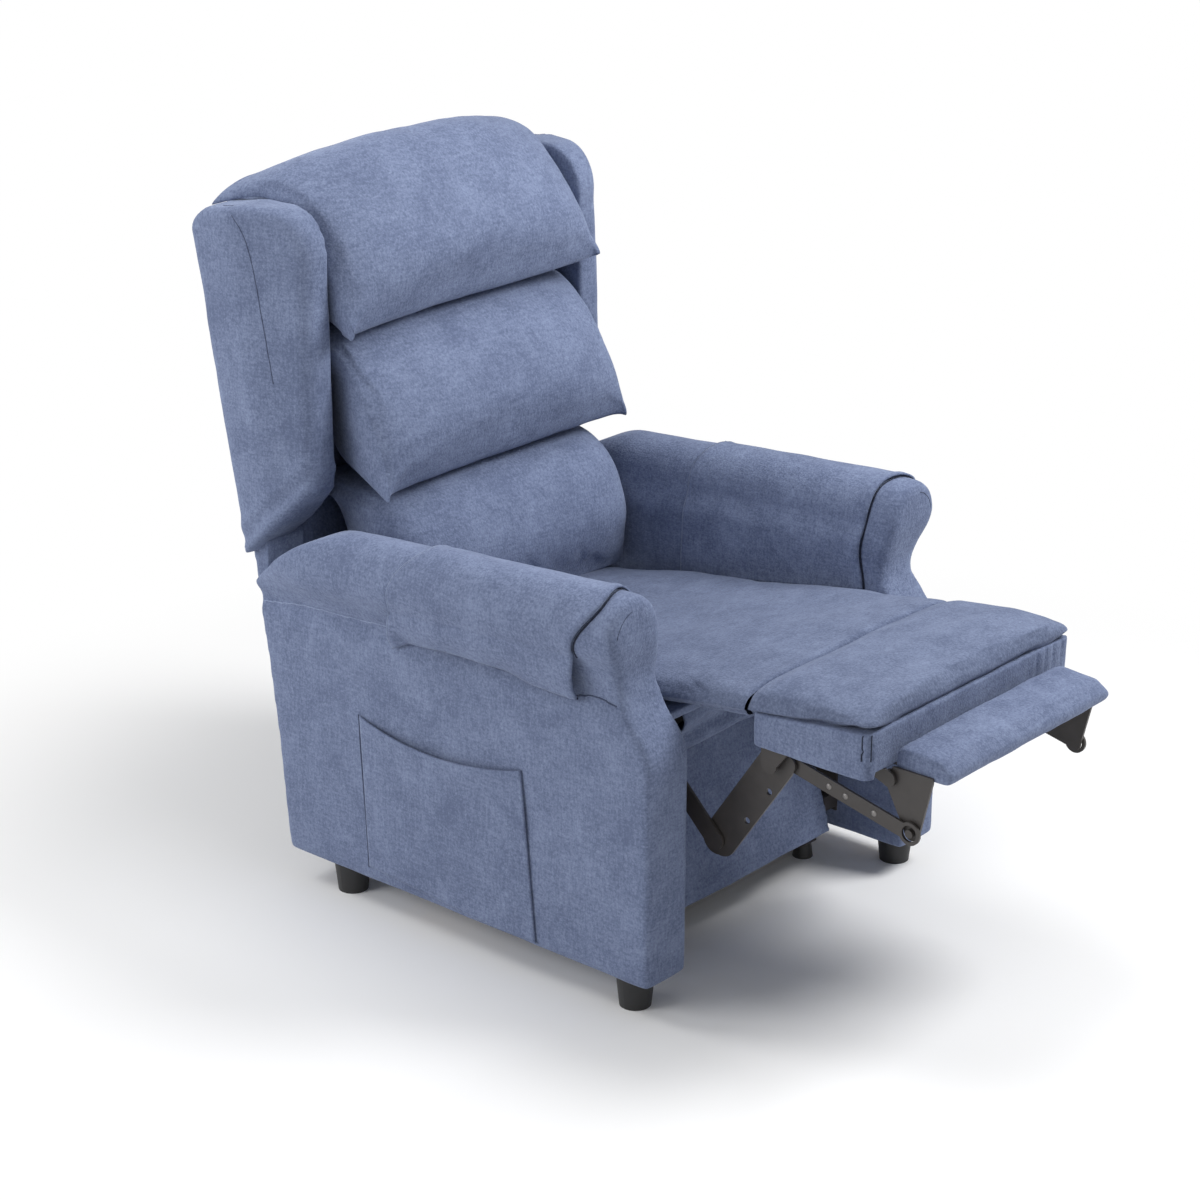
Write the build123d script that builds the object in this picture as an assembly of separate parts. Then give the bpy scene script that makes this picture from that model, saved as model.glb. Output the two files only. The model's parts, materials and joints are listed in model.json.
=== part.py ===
from build123d import *
import os
from math import atan2, cos, degrees, hypot, radians, sin, tan

# Lift recliner, millimetres, +Z up, facing -Y. The sitter's right hand is at -X.
# Rest pose: legrest raised, back upright, seat down on its feet.

# Arms
ARM_OUTER = 350.0
ARM_THICK = 90.0
ARM_BOTTOM = 47.0
ARM_FRONT = -362.0
ARM_REAR = 362.0
ARM_REAR_TOP = (408.0, 472.0)
ARM_NECK = (-305.0, 496.0)
ROLL_RADIUS = 55.0
ROLL_INSET = 24.0
ROLL_Z = 568.0
ROLL_FRONT = -320.0
ROLL_FALL = 0.060
ARM_CREASE = 9.0
ARM_CORE_THICK = 18.0
CAP_FRONT = -285.0
CAP_REAR = 70.0
CAP_THICK = 5.0
CREASE_DROP = 96.0
CREASE_FALL = 0.026
SOFT_GAP = 0.3

# Side pocket
POCKET_FRONT = -150.0
POCKET_REAR = 190.0
POCKET_BOTTOM = 58.0
POCKET_TOP = 318.0
POCKET_SAG = 22.0
POCKET_DEPTH = 8.0
POCKET_CLOTH = 3.5
POCKET_HEM = 7.0

# Feet under the arms
FOOT_INSET = 35.0
FOOT_FRONT = -311.0
FOOT_REAR = 257.0
FOOT_TOP_R = 28.0
FOOT_FLOOR_R = 23.0

# Side plates and the lanes of the linkages, counted inwards from the arm
PLATE_THICK = 4.0
LIFT_LINK_THICK = 5.0
LIFT_LANE_GAP = 1.0
LINK_THICK = 4.0
LINK_GAP = 2.0
LINK_CLEAR = 32.0
PIN_R = 7.0
SMALL_PIN_R = 6.0
RUNNING = 0.05
OPEN_PIVOT = 0.4

# Pivots, each (Y, Z)
LIFT_FRONT_BASE = (-200.0, 93.0)
LIFT_FRONT_CHAIR = (104.0, 136.0)
LIFT_REAR_BASE = (-88.0, 87.0)
LIFT_REAR_CHAIR = (305.0, 98.0)
LIFT_OPEN = 5.6
BACK_PIVOT = (200.0, 330.0)
DRIVE_PIVOT = (-269.0, 342.0)
FLIPPER_OPEN = 5.6

# Base frame
RAIL_INSET = 17.0
RAIL_WIDTH = 28.0
RAIL_BOTTOM = 26.0
RAIL_TOP = 55.0
RAIL_FRONT = -212.0
RAIL_REAR = 330.0
TUBE_WALL = 2.5
CROSS_WIDTH = 30.0
LUG_THICK = 6.0
GLIDE_R = 16.0

# Lift links and actuator
LIFT_LINK_HALF = 12.0
TORQUE_R = 13.0
CRANK_LENGTH = 78.0
CRANK_ANGLE = 65.0
LIFT_MOTOR_PIVOT = (300.0, 84.0)
LIFT_MOTOR_X = -70.0
LIFT_EYE_OPEN = 10.6
LEVER_LENGTH = 100.0
LEVER_ANGLE = -73.0
LEVER_R = 10.0
RECLINE_MOTOR_PIVOT = (-125.0, 245.0)
RECLINE_MOTOR_X = 70.0
RECLINE_EYE_OPEN = 5.5
ROD_R = 10.0
GUIDE_R = 20.0
EYE_HALF = 12.0
EYE_R = 14.0
MOTOR_CASE = 65.0
MOTOR_NECK = 20.0
MOTOR_HALF = 26.0
MOTOR_CAN_R = 24.0
MOTOR_CAN_LENGTH = 96.0
CRANK_PIN_R = 8.0
LIFT_ROD_ROOM = 150.0
RECLINE_ROD_ROOM = 130.0
CONTROL_BOX = (34.0, 90.0, 65.0)
CONTROL_BOX_Y = 30.0
CONTROL_BOX_Z = 225.0
INLET_R = 11.0
INLET_LENGTH = 14.0
SOCKET_R = 7.0

# Seat
SEAT_FRONT = -312.0
SEAT_REAR = 172.0
SEAT_TOP_FRONT = 470.0
SEAT_TOP_REAR = 392.0
SEAT_UNDER_FRONT = 394.0
SEAT_UNDER_SLOPE = 0.1744
SEAT_STEP = -212.0
FRONT_BOARD_TOP = 425.0
FRONT_BOARD_THICK = 14.0
SEAT_SIDE_GAP = 1.0
SPRING_WIRE = 4.0
SPRING_COUNT = 5
SPRING_BENDS = 9
SPRING_HALF = 24.0
SEAT_TUBE_R = 12.0
FRONT_TUBE_Y = -140.0
REAR_TUBE_Y = 150.0

# Legrest and its soft bridge
LEG_SIDE_GAP = 15.0
LEG_REAR = -452.0
LEG_FRONT = -650.0
LEG_BELOW_SEAT = 45.0
LEG_BOARD = 18.0
LEG_DEPTH = 75.0
LEG_CROWN = 8.0
BRIDGE_DEPTH = 40.0
BRIDGE_SKIN = 9.0
BRIDGE_FOLD_Y = -367.0
PLATE_HIGH_Y = -470.0
PLATE_HIGH_DROP = 40.0
FOLD_ANGLE = 85.0
FOLD_GAP = 0.6
WIDE_HALF = 24.0
WIDE_LAP = 9.0
WIDE_HOLE_R = 5.0

# Flipper
FLIP_DEPTH = 93.0
FLIP_GAP = 7.0
FLIP_DROP = 4.0
FLIP_BOARD = 8.0
FLIP_THICK = 40.0
HINGE_AHEAD = 5.0
HINGE_DROP = 13.0
LINK_FRONT_AHEAD = 37.0
LINK_FRONT_DROP = 69.0
LINK_REAR_AHEAD = 24.0
LINK_REAR_RISE = 3.0

# Front panel
KICK_SIDE_GAP = 31.0
KICK_LINK_GAP = 4.0
KICK_SHOULDER = 160.0
KICK_BOTTOM = 60.0
KICK_TOP = 300.0
KICK_FRONT = -255.0
KICK_LEAN = 18.0
KICK_THICK = 20.0
GUSSET_THICK = 4.0
GUSSET_TOP_Y = -294.0

# Back
BACK_LEAN = 9.4
BACK_REAR_Y = 442.0
BACK_REAR_Z = 520.0
BACK_BOTTOM = 420.0
BACK_SHOULDER = 545.0
BACK_TOP = 1030.0
BACK_PANEL = 8.0
POST_DEPTH = 42.0
POST_WIDTH = 24.0
WEB_THICK = 6.0
RAIL_HEIGHT = 60.0
BACK_SIDE_CLEAR = 4.0
WING_OUT = 15.0
WING_THICK = 64.0
WING_ROUND = 16.0
PILLOW_OUT = 10.0
LUMBAR_GAP = 16.0
WING_LOW = 628.0
WING_LOW_FRONT = (298.0, 655.0)
WING_TOP_FRONT = (303.0, 965.0)
WING_SHOULDER = (321.0, 1025.0)
WING_TOP = (368.0, 470.0, 1047.0)
WING_REAR_ROUND = (508.0, 1038.0)
WING_REAR_TOP = 1012.0

# Back pillows: lower front, fullest point, upper front and crown, the heights of the rear edge,
# then the seam at the ends from the lower front over the crown to the lower rear
HEAD_PILLOW = ((262.0, 876.0), (272.0, 985.0), (345.0, 1080.0), (395.0, 1108.0), 1094.0, 890.0)
HEAD_SEAM = ((258.0, 880.0), (316.0, 950.0), (398.0, 1032.0), (442.0, 1050.0), (466.0, 1046.0), (330.0, 936.0))
MIDDLE_PILLOW = ((200.0, 637.0), (210.0, 735.0), (275.0, 826.0), (340.0, 866.0), 868.0, 660.0)
MIDDLE_SEAM = ((196.0, 634.0), (234.0, 726.0), (278.0, 796.0), (345.0, 842.0), (420.0, 848.0), (262.0, 716.0))
LUMBAR_PILLOW = ((184.0, 408.0), (158.0, 500.0), (205.0, 596.0), (300.0, 632.0), 626.0, 424.0)
LUMBAR_SEAM = ((206.0, 418.0), (198.0, 500.0), (236.0, 566.0), (300.0, 600.0), (380.0, 600.0), (360.0, 440.0))
PILLOW_EDGE = 0.18
LUMBAR_EDGE = 0.55

# Positions that follow from the sizes above
ARM_INNER = ARM_OUTER - ARM_THICK
ROLL_X = ARM_OUTER - ROLL_INSET
FOOT_X = ARM_OUTER - FOOT_INSET
RAIL_OUTER = ARM_INNER - RAIL_INSET
LEG_HALF = ARM_INNER - LEG_SIDE_GAP
LEG_UNDER = SEAT_TOP_FRONT - LEG_BELOW_SEAT
WING_INNER = ARM_INNER + WING_OUT
PILLOW_HALF = ARM_INNER + PILLOW_OUT
LUMBAR_HALF = ARM_INNER - LUMBAR_GAP
PLATE_IN = ARM_INNER - PLATE_THICK
KICK_HALF = PLATE_IN - KICK_SIDE_GAP
REAR_LINK_OUT = PLATE_IN - LIFT_LANE_GAP
REAR_LINK_IN = REAR_LINK_OUT - LIFT_LINK_THICK
FRONT_LINK_OUT = REAR_LINK_IN - LIFT_LANE_GAP
FRONT_LINK_IN = FRONT_LINK_OUT - LIFT_LINK_THICK
LUG_OUT = RAIL_OUTER - LIFT_LANE_GAP
LUG_IN = LUG_OUT - LUG_THICK
BRACKET_OUT = PLATE_IN - BACK_SIDE_CLEAR
BRACKET_IN = BRACKET_OUT - LUG_THICK
LEG_BRACKET_OUT = PLATE_IN - LINK_CLEAR
LEG_BRACKET_IN = LEG_BRACKET_OUT - LINK_THICK
DRIVE_OUT = LEG_BRACKET_IN - LINK_GAP
DRIVE_IN = DRIVE_OUT - LINK_THICK
WIDE_OUT = DRIVE_IN - LINK_GAP
WIDE_IN = WIDE_OUT - LINK_THICK
KICK_NECK = WIDE_IN - KICK_LINK_GAP
FLIP_LINK_OUT = WIDE_IN - LINK_GAP
FLIP_LINK_IN = FLIP_LINK_OUT - LINK_THICK
FLIP_BRACKET_OUT = FLIP_LINK_IN - LINK_GAP
FLIP_HALF = FLIP_BRACKET_OUT - LINK_THICK
LEG_TOP = LEG_UNDER + LEG_DEPTH
BRIDGE_TOP = LEG_TOP - FLIP_DROP
BRIDGE_UNDER = BRIDGE_TOP - BRIDGE_DEPTH
PAD_FOLD = (BRIDGE_FOLD_Y, BRIDGE_TOP - BRIDGE_SKIN)
FLIP_REAR = LEG_FRONT - FLIP_GAP
FLIP_FRONT = FLIP_REAR - FLIP_DEPTH
FLIP_UNDER = LEG_UNDER - FLIP_DROP
FLIP_TOP = FLIP_UNDER + FLIP_THICK

# The drive links and wide plates make a parallelogram with the pad's fold
PLATE_HIGH = (PLATE_HIGH_Y, LEG_UNDER - PLATE_HIGH_DROP)
PLATE_LOW = (PLATE_HIGH[0] + DRIVE_PIVOT[0] - PAD_FOLD[0], PLATE_HIGH[1] + DRIVE_PIVOT[1] - PAD_FOLD[1])
FLIPPER_HINGE = (LEG_FRONT - HINGE_AHEAD, LEG_UNDER - HINGE_DROP)
FLIPPER_LINK_REAR = (PLATE_HIGH[0] - LINK_REAR_AHEAD, PLATE_HIGH[1] + LINK_REAR_RISE)
FLIPPER_LINK_FRONT = (FLIPPER_HINGE[0] - LINK_FRONT_AHEAD, FLIPPER_HINGE[1] - LINK_FRONT_DROP)

nodes = {}


def put(name, *solids):
    """Keep the solids of one named piece."""
    nodes[name] = list(solids)


def put_pair(name, shape):
    """Keep a left-hand piece and its mirror image as two named pieces."""
    put(name + "_left", shape)
    put(name + "_right", mirror(shape, about=Plane.YZ))


def both(*shapes):
    """The shapes and their mirror images, as one list."""
    return list(shapes) + [mirror(shape, about=Plane.YZ) for shape in shapes]


def block(x0, x1, y0, y1, z0, z1):
    """A straight-sided block between two corners."""
    centre = ((x0 + x1) / 2, (y0 + y1) / 2, (z0 + z1) / 2)
    return Pos(*centre) * Box(x1 - x0, y1 - y0, z1 - z0)


def profile(points, x0, x1):
    """A flat (Y, Z) outline given a thickness from x0 to x1."""
    face = Plane.YZ.offset(x0) * make_face(Polyline(*points, close=True))
    return extrude(face, x1 - x0, dir=(1, 0, 0))


def disc(centre, radius, x0, x1):
    """A round bar along X about a (Y, Z) centre."""
    face = Plane.YZ.offset(x0) * (Pos(*centre) * Circle(radius))
    return extrude(face, x1 - x0, dir=(1, 0, 0))


def bar(start, end, half, x0, x1):
    """A flat link with round ends between two (Y, Z) pivots."""
    length = hypot(end[0] - start[0], end[1] - start[1])
    side = ((start[1] - end[1]) / length * half, (end[0] - start[0]) / length * half)
    corners = [
        (start[0] + side[0], start[1] + side[1]),
        (end[0] + side[0], end[1] + side[1]),
        (end[0] - side[0], end[1] - side[1]),
        (start[0] - side[0], start[1] - side[1]),
    ]
    return profile(corners, x0, x1) + disc(start, half, x0, x1) + disc(end, half, x0, x1)


def between(start, end, share):
    """The (Y, Z) point at a share of the way from start to end."""
    return (start[0] + (end[0] - start[0]) * share, start[1] + (end[1] - start[1]) * share)


def ahead(point, distance):
    """The (Y, Z) point that far in front of another."""
    return (point[0] - distance, point[1])


def polar(centre, length, angle):
    """The (Y, Z) point at a length and an angle from a centre."""
    return (centre[0] + length * cos(radians(angle)), centre[1] + length * sin(radians(angle)))


CRANK_PIN = polar(LIFT_FRONT_BASE, CRANK_LENGTH, CRANK_ANGLE)
LEVER_PIN = polar(BACK_PIVOT, LEVER_LENGTH, LEVER_ANGLE)


def crowned(stations, outline):
    """A soft form: (Y, Z) outlines at stations across X, joined by straight rulings."""
    faces = []
    for x, fullness in stations:
        faces.append(Plane.YZ.offset(x) * make_face(outline(fullness)))
    return loft(faces, ruled=True)


def crown_stations(half, edge, edge_fullness):
    """Stations from side to side of a pad, full in the middle and drawn in at the ends."""
    near = edge_fullness + (1 - edge_fullness) * 0.78
    return [(-half, edge_fullness), (edge - half, near), (0, 1.0),
            (half - edge, near), (half, edge_fullness)]


# Arms: roll outline across, cut by the side outline
def roll_centre(y):
    return ROLL_Z - ROLL_FALL * (y - ROLL_FRONT)


def crease_height(y):
    return ROLL_Z - CREASE_DROP - CREASE_FALL * (y - ROLL_FRONT)


def on_roll(y, angle, grow=0.0):
    reach = ROLL_RADIUS + grow
    return (ROLL_X + reach * cos(radians(angle)), roll_centre(y) + reach * sin(radians(angle)))


ROLL_START, ROLL_MID, ROLL_END = -50, 65, 180


def roll_path(y, grow):
    """The cloth-side line of the roll at one Y, from the outer crease over to the inner side."""
    crease = (ARM_OUTER - ARM_CREASE + grow, crease_height(y))
    inner = (ARM_INNER - grow, roll_centre(y) - ROLL_RADIUS * 0.75)
    foot = (ARM_INNER - grow, crease_height(y))
    first = on_roll(y, ROLL_START, grow)
    top = on_roll(y, ROLL_MID, grow)
    last = on_roll(y, ROLL_END, grow)
    edges = [
        Line(crease, first),
        ThreePointArc(first, on_roll(y, (ROLL_START + ROLL_MID) / 2, grow), top),
        ThreePointArc(top, on_roll(y, (ROLL_MID + ROLL_END) / 2, grow), last),
        Line(last, inner),
        Line(inner, foot),
    ]
    return edges, crease, foot


def section_plane(y):
    """The cross-section plane at one Y, with X across and Z up."""
    return Plane(origin=(0, y, 0), x_dir=(1, 0, 0), z_dir=(0, -1, 0))


def arm_section(y):
    edges, crease, foot = roll_path(y, 0)
    shoulder = (ARM_OUTER, crease[1] - 2 * ARM_CREASE)
    low_outer, low_inner = (ARM_OUTER, ARM_BOTTOM), (ARM_INNER, ARM_BOTTOM)
    edges += [
        Line(foot, low_inner),
        Line(low_inner, low_outer),
        Line(low_outer, shoulder),
        Line(shoulder, crease),
    ]
    return section_plane(y) * make_face(edges)


def cap_section(y):
    under, crease, foot = roll_path(y, SOFT_GAP)
    over, crease_out, foot_out = roll_path(y, SOFT_GAP + CAP_THICK)
    return section_plane(y) * make_face(under + over + [Line(crease, crease_out), Line(foot, foot_out)])


def arm_side_outline():
    crown = ROLL_Z + ROLL_RADIUS + 20
    knee = (ARM_FRONT, 380)
    flare = (ARM_FRONT + 26, 434)
    lip = (ROLL_FRONT, ROLL_Z - 15)
    round_start = (ROLL_FRONT, ROLL_Z + ROLL_RADIUS - 16)
    round_end = (ROLL_FRONT + 14, ROLL_Z + ROLL_RADIUS + 1)
    rear_hip = (391, 352)
    return make_face([
        Line((ARM_FRONT, ARM_BOTTOM), knee),
        ThreePointArc(knee, (ARM_FRONT + 8, 409), flare),
        ThreePointArc(flare, (ARM_NECK[0] - 10, 464), ARM_NECK),
        Line(ARM_NECK, lip),
        Line(lip, round_start),
        ThreePointArc(round_start, (ROLL_FRONT + 4, round_end[1] - 5), round_end),
        Line(round_end, (ROLL_FRONT + 16, crown)),
        Line((ROLL_FRONT + 16, crown), (150, crown)),
        Line((150, crown), (160, 602)),
        ThreePointArc((160, 602), (304, 559), ARM_REAR_TOP),
        Line(ARM_REAR_TOP, rear_hip),
        Line(rear_hip, (ARM_REAR, ARM_BOTTOM)),
        Line((ARM_REAR, ARM_BOTTOM), (ARM_FRONT, ARM_BOTTOM)),
    ])


def make_arms():
    rear = ARM_REAR_TOP[0] + 5
    bulk = loft([arm_section(ARM_FRONT - 5), arm_section(rear)], ruled=True)
    reach = ROLL_X + ROLL_RADIUS + 20
    inside = ARM_INNER - ROLL_RADIUS
    side = extrude(Plane.YZ.offset(inside) * arm_side_outline(), reach - inside, dir=(1, 0, 0))
    core_x = FOOT_X - ARM_CORE_THICK / 2
    core = profile(
        [(ARM_FRONT + 30, ARM_BOTTOM), (ARM_FRONT + 30, 380), (ARM_NECK[0] + 40, 470),
         (ARM_REAR - 60, 470), (ARM_REAR - 25, ARM_BOTTOM)],
        core_x, core_x + ARM_CORE_THICK)
    arm = (bulk & side) - core
    put("arm_frames", *both(core))
    put_pair("arm_upholstery", arm.solid())
    cap = loft([cap_section(CAP_FRONT), cap_section(CAP_REAR)], ruled=True)
    put_pair("arm_cap", cap)
    feet = []
    for y in (FOOT_FRONT, FOOT_REAR):
        foot = Cone(FOOT_FLOOR_R, FOOT_TOP_R, ARM_BOTTOM, align=(Align.CENTER, Align.CENTER, Align.MIN))
        feet += both(Pos(FOOT_X, y, 0) * foot)
    put("arm_feet", *feet)


def make_pocket():
    wall_out = -ARM_OUTER - SOFT_GAP - POCKET_DEPTH
    middle = (POCKET_FRONT + POCKET_REAR) / 2
    sag = (middle, POCKET_TOP - POCKET_SAG)
    rim = make_face([
        ThreePointArc((POCKET_FRONT, POCKET_TOP), sag, (POCKET_REAR, POCKET_TOP)),
        Line((POCKET_REAR, POCKET_TOP), (POCKET_REAR, POCKET_BOTTOM)),
        Line((POCKET_REAR, POCKET_BOTTOM), (POCKET_FRONT, POCKET_BOTTOM)),
        Line((POCKET_FRONT, POCKET_BOTTOM), (POCKET_FRONT, POCKET_TOP)),
    ])
    depth = POCKET_DEPTH + POCKET_CLOTH
    bag = extrude(Plane.YZ.offset(wall_out - POCKET_CLOTH) * rim, depth, dir=(1, 0, 0))
    hollow = block(wall_out, -ARM_OUTER, POCKET_FRONT + POCKET_HEM, POCKET_REAR - POCKET_HEM,
                   POCKET_BOTTOM + POCKET_HEM, POCKET_TOP + POCKET_SAG)
    put("side_pocket", (bag - hollow).solid())


# Base frame and lift linkage
def square_tube(x0, x1, y0, y1, z0, z1, along_x):
    outer = block(x0, x1, y0, y1, z0, z1)
    wall_x = 0 if along_x else TUBE_WALL
    wall_y = TUBE_WALL if along_x else 0
    return outer - block(x0 + wall_x, x1 - wall_x, y0 + wall_y, y1 - wall_y, z0 + TUBE_WALL, z1 - TUBE_WALL)


def make_base():
    inner = RAIL_OUTER - RAIL_WIDTH
    rail = square_tube(inner, RAIL_OUTER, RAIL_FRONT, RAIL_REAR, RAIL_BOTTOM, RAIL_TOP, False)
    put_pair("base_rail", rail)
    front_y = RAIL_FRONT + 6
    rear_y = RAIL_REAR - CROSS_WIDTH
    for name, y in (("base_cross_front", front_y), ("base_cross_rear", rear_y)):
        put(name, square_tube(-inner, inner, y, y + CROSS_WIDTH, RAIL_BOTTOM, RAIL_TOP, True))
    lugs = []
    for pivot, bore in ((LIFT_FRONT_BASE, TORQUE_R + RUNNING), (LIFT_REAR_BASE, 0)):
        half = TORQUE_R + 8
        lug = profile([(pivot[0] - half, RAIL_TOP), (pivot[0] - half, pivot[1]),
                       (pivot[0] + half, pivot[1]), (pivot[0] + half, RAIL_TOP)], LUG_IN, LUG_OUT)
        lug = lug + disc(pivot, half, LUG_IN, LUG_OUT)
        if bore:
            lug = lug - disc(pivot, bore, LUG_IN, LUG_OUT)
        lug = lug & block(LUG_IN, LUG_OUT, pivot[0] - half, pivot[0] + half, RAIL_TOP, pivot[1] + half)
        lugs += both(lug.solid())
    pins = both(disc(LIFT_REAR_BASE, PIN_R, LUG_OUT, REAR_LINK_OUT + 0.5))
    put("base_pivot_lugs", *lugs, *pins)
    glides = []
    for y in (RAIL_FRONT + GLIDE_R, RAIL_REAR - GLIDE_R):
        glide = Cone(GLIDE_R, GLIDE_R - 3, RAIL_BOTTOM, align=(Align.CENTER, Align.CENTER, Align.MIN))
        glides += both(Pos(RAIL_OUTER - RAIL_WIDTH / 2, y, 0) * glide)
    put("base_glides", *glides)
    put("lift_motor_bracket", *fork(LIFT_MOTOR_PIVOT, LIFT_MOTOR_X, (RAIL_REAR - CROSS_WIDTH, RAIL_TOP),
                                    (RAIL_REAR - 4, RAIL_TOP)))


def fork(pivot, x, foot_a, foot_b):
    """Two ears and a pin that hold an actuator's eye, standing or hanging from one side of a beam."""
    ears = []
    for side in (-1, 1):
        near = x + side * (EYE_HALF + 1)
        far = near + side * LINK_THICK
        low, high = min(near, far), max(near, far)
        width = SMALL_PIN_R + 7
        ear = profile([foot_a, foot_b, (pivot[0] + width, pivot[1]), (pivot[0] - width, pivot[1])],
                      low, high)
        ear = ear + disc(pivot, width, low, high) - disc(pivot, SMALL_PIN_R, low, high)
        ears.append(ear.solid())
    reach = EYE_HALF + 1 + LINK_THICK
    return ears + [disc(pivot, SMALL_PIN_R, x - reach, x + reach)]


def make_lift():
    front = bar(LIFT_FRONT_BASE, LIFT_FRONT_CHAIR, LIFT_LINK_HALF, FRONT_LINK_IN, FRONT_LINK_OUT)
    front = front + disc(LIFT_FRONT_BASE, TORQUE_R + 3, FRONT_LINK_IN, FRONT_LINK_OUT)
    front = front - disc(LIFT_FRONT_CHAIR, PIN_R + RUNNING, FRONT_LINK_IN, FRONT_LINK_OUT)
    put("lift_front_links", *both(front.solid()))
    tube = disc(LIFT_FRONT_BASE, TORQUE_R, -FRONT_LINK_IN, FRONT_LINK_IN)
    put("lift_torque_tube", tube)
    crank = []
    for side in (-1, 1):
        near = LIFT_MOTOR_X + side * EYE_HALF
        far = near + side * LIFT_LINK_THICK
        low, high = min(near, far), max(near, far)
        cheek = bar(LIFT_FRONT_BASE, CRANK_PIN, TORQUE_R + 2, low, high)
        cheek = cheek + disc(LIFT_FRONT_BASE, TORQUE_R + 8, low, high)
        cheek = cheek - disc(LIFT_FRONT_BASE, TORQUE_R + RUNNING, low, high)
        crank.append((cheek - disc(CRANK_PIN, CRANK_PIN_R, low, high)).solid())
    reach = EYE_HALF + LIFT_LINK_THICK
    crank.append(disc(CRANK_PIN, CRANK_PIN_R, LIFT_MOTOR_X - reach, LIFT_MOTOR_X + reach))
    put("lift_crank", *crank)
    rear = bar(LIFT_REAR_BASE, LIFT_REAR_CHAIR, LIFT_LINK_HALF, REAR_LINK_IN, REAR_LINK_OUT)
    rear = rear + disc(LIFT_REAR_CHAIR, PIN_R + LIFT_OPEN + 8, REAR_LINK_IN, REAR_LINK_OUT)
    rear = rear - disc(LIFT_REAR_BASE, PIN_R + RUNNING, REAR_LINK_IN, REAR_LINK_OUT)
    rear = rear - disc(LIFT_REAR_CHAIR, PIN_R + LIFT_OPEN, REAR_LINK_IN, REAR_LINK_OUT)
    put("lift_rear_links", *both(rear.solid()))
    make_actuator("lift", LIFT_MOTOR_PIVOT, CRANK_PIN, LIFT_MOTOR_X,
                  CRANK_PIN_R + LIFT_EYE_OPEN, LIFT_ROD_ROOM)


def make_actuator(name, foot, tip, x, eye_bore, tail_room):
    """A gear-motor with a guide tube on its foot pin, and the push rod with its eye at the tip."""
    length = hypot(tip[0] - foot[0], tip[1] - foot[1])
    turn = degrees(atan2(tip[1] - foot[1], tip[0] - foot[0]))
    case_end = MOTOR_NECK + MOTOR_CASE
    guide_end = length - tail_room
    case = block(-MOTOR_HALF, MOTOR_HALF, MOTOR_NECK, case_end, -MOTOR_HALF, MOTOR_HALF)
    case = case + disc((0, 0), EYE_R, -EYE_HALF, EYE_HALF)
    case = case + block(-EYE_HALF, EYE_HALF, 0, MOTOR_NECK, -EYE_R, EYE_R)
    case = case - disc((0, 0), SMALL_PIN_R + RUNNING, -EYE_HALF, EYE_HALF)
    low = (Align.CENTER, Align.CENTER, Align.MIN)
    can_x = 2 * MOTOR_HALF
    can = Pos(can_x, EYE_R, 0) * Rot(-90, 0, 0) * Cylinder(MOTOR_CAN_R, MOTOR_CAN_LENGTH, align=low)
    case = case + can + block(0, can_x, 2 * MOTOR_NECK, case_end, -GUIDE_R, GUIDE_R)
    along = Pos(0, case_end, 0) * Rot(-90, 0, 0)
    guide = along * Cylinder(GUIDE_R, guide_end - case_end, align=low)
    bore = along * Cylinder(ROD_R + SOFT_GAP, guide_end - case_end, align=low)
    motor = case + guide - bore
    eye_out = eye_bore + 7
    rod_start = case_end + tail_room * 0.5
    rod = Pos(0, rod_start, 0) * Rot(-90, 0, 0) * Cylinder(ROD_R, length - rod_start, align=low)
    eye_half = EYE_HALF - 3
    rod = rod + disc((length, 0), eye_out, -eye_half, eye_half)
    rod = rod - disc((length, 0), eye_bore, -EYE_HALF, EYE_HALF)
    place = Pos(x, foot[0], foot[1]) * Rot(turn, 0, 0)
    put(name + "_motor", place * motor.solid())
    put(name + "_rod", place * rod.solid())


# Chair carcass: side plates, seat, front panel
def seat_under(y):
    return SEAT_UNDER_FRONT - SEAT_UNDER_SLOPE * (y + 200.0)


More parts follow.
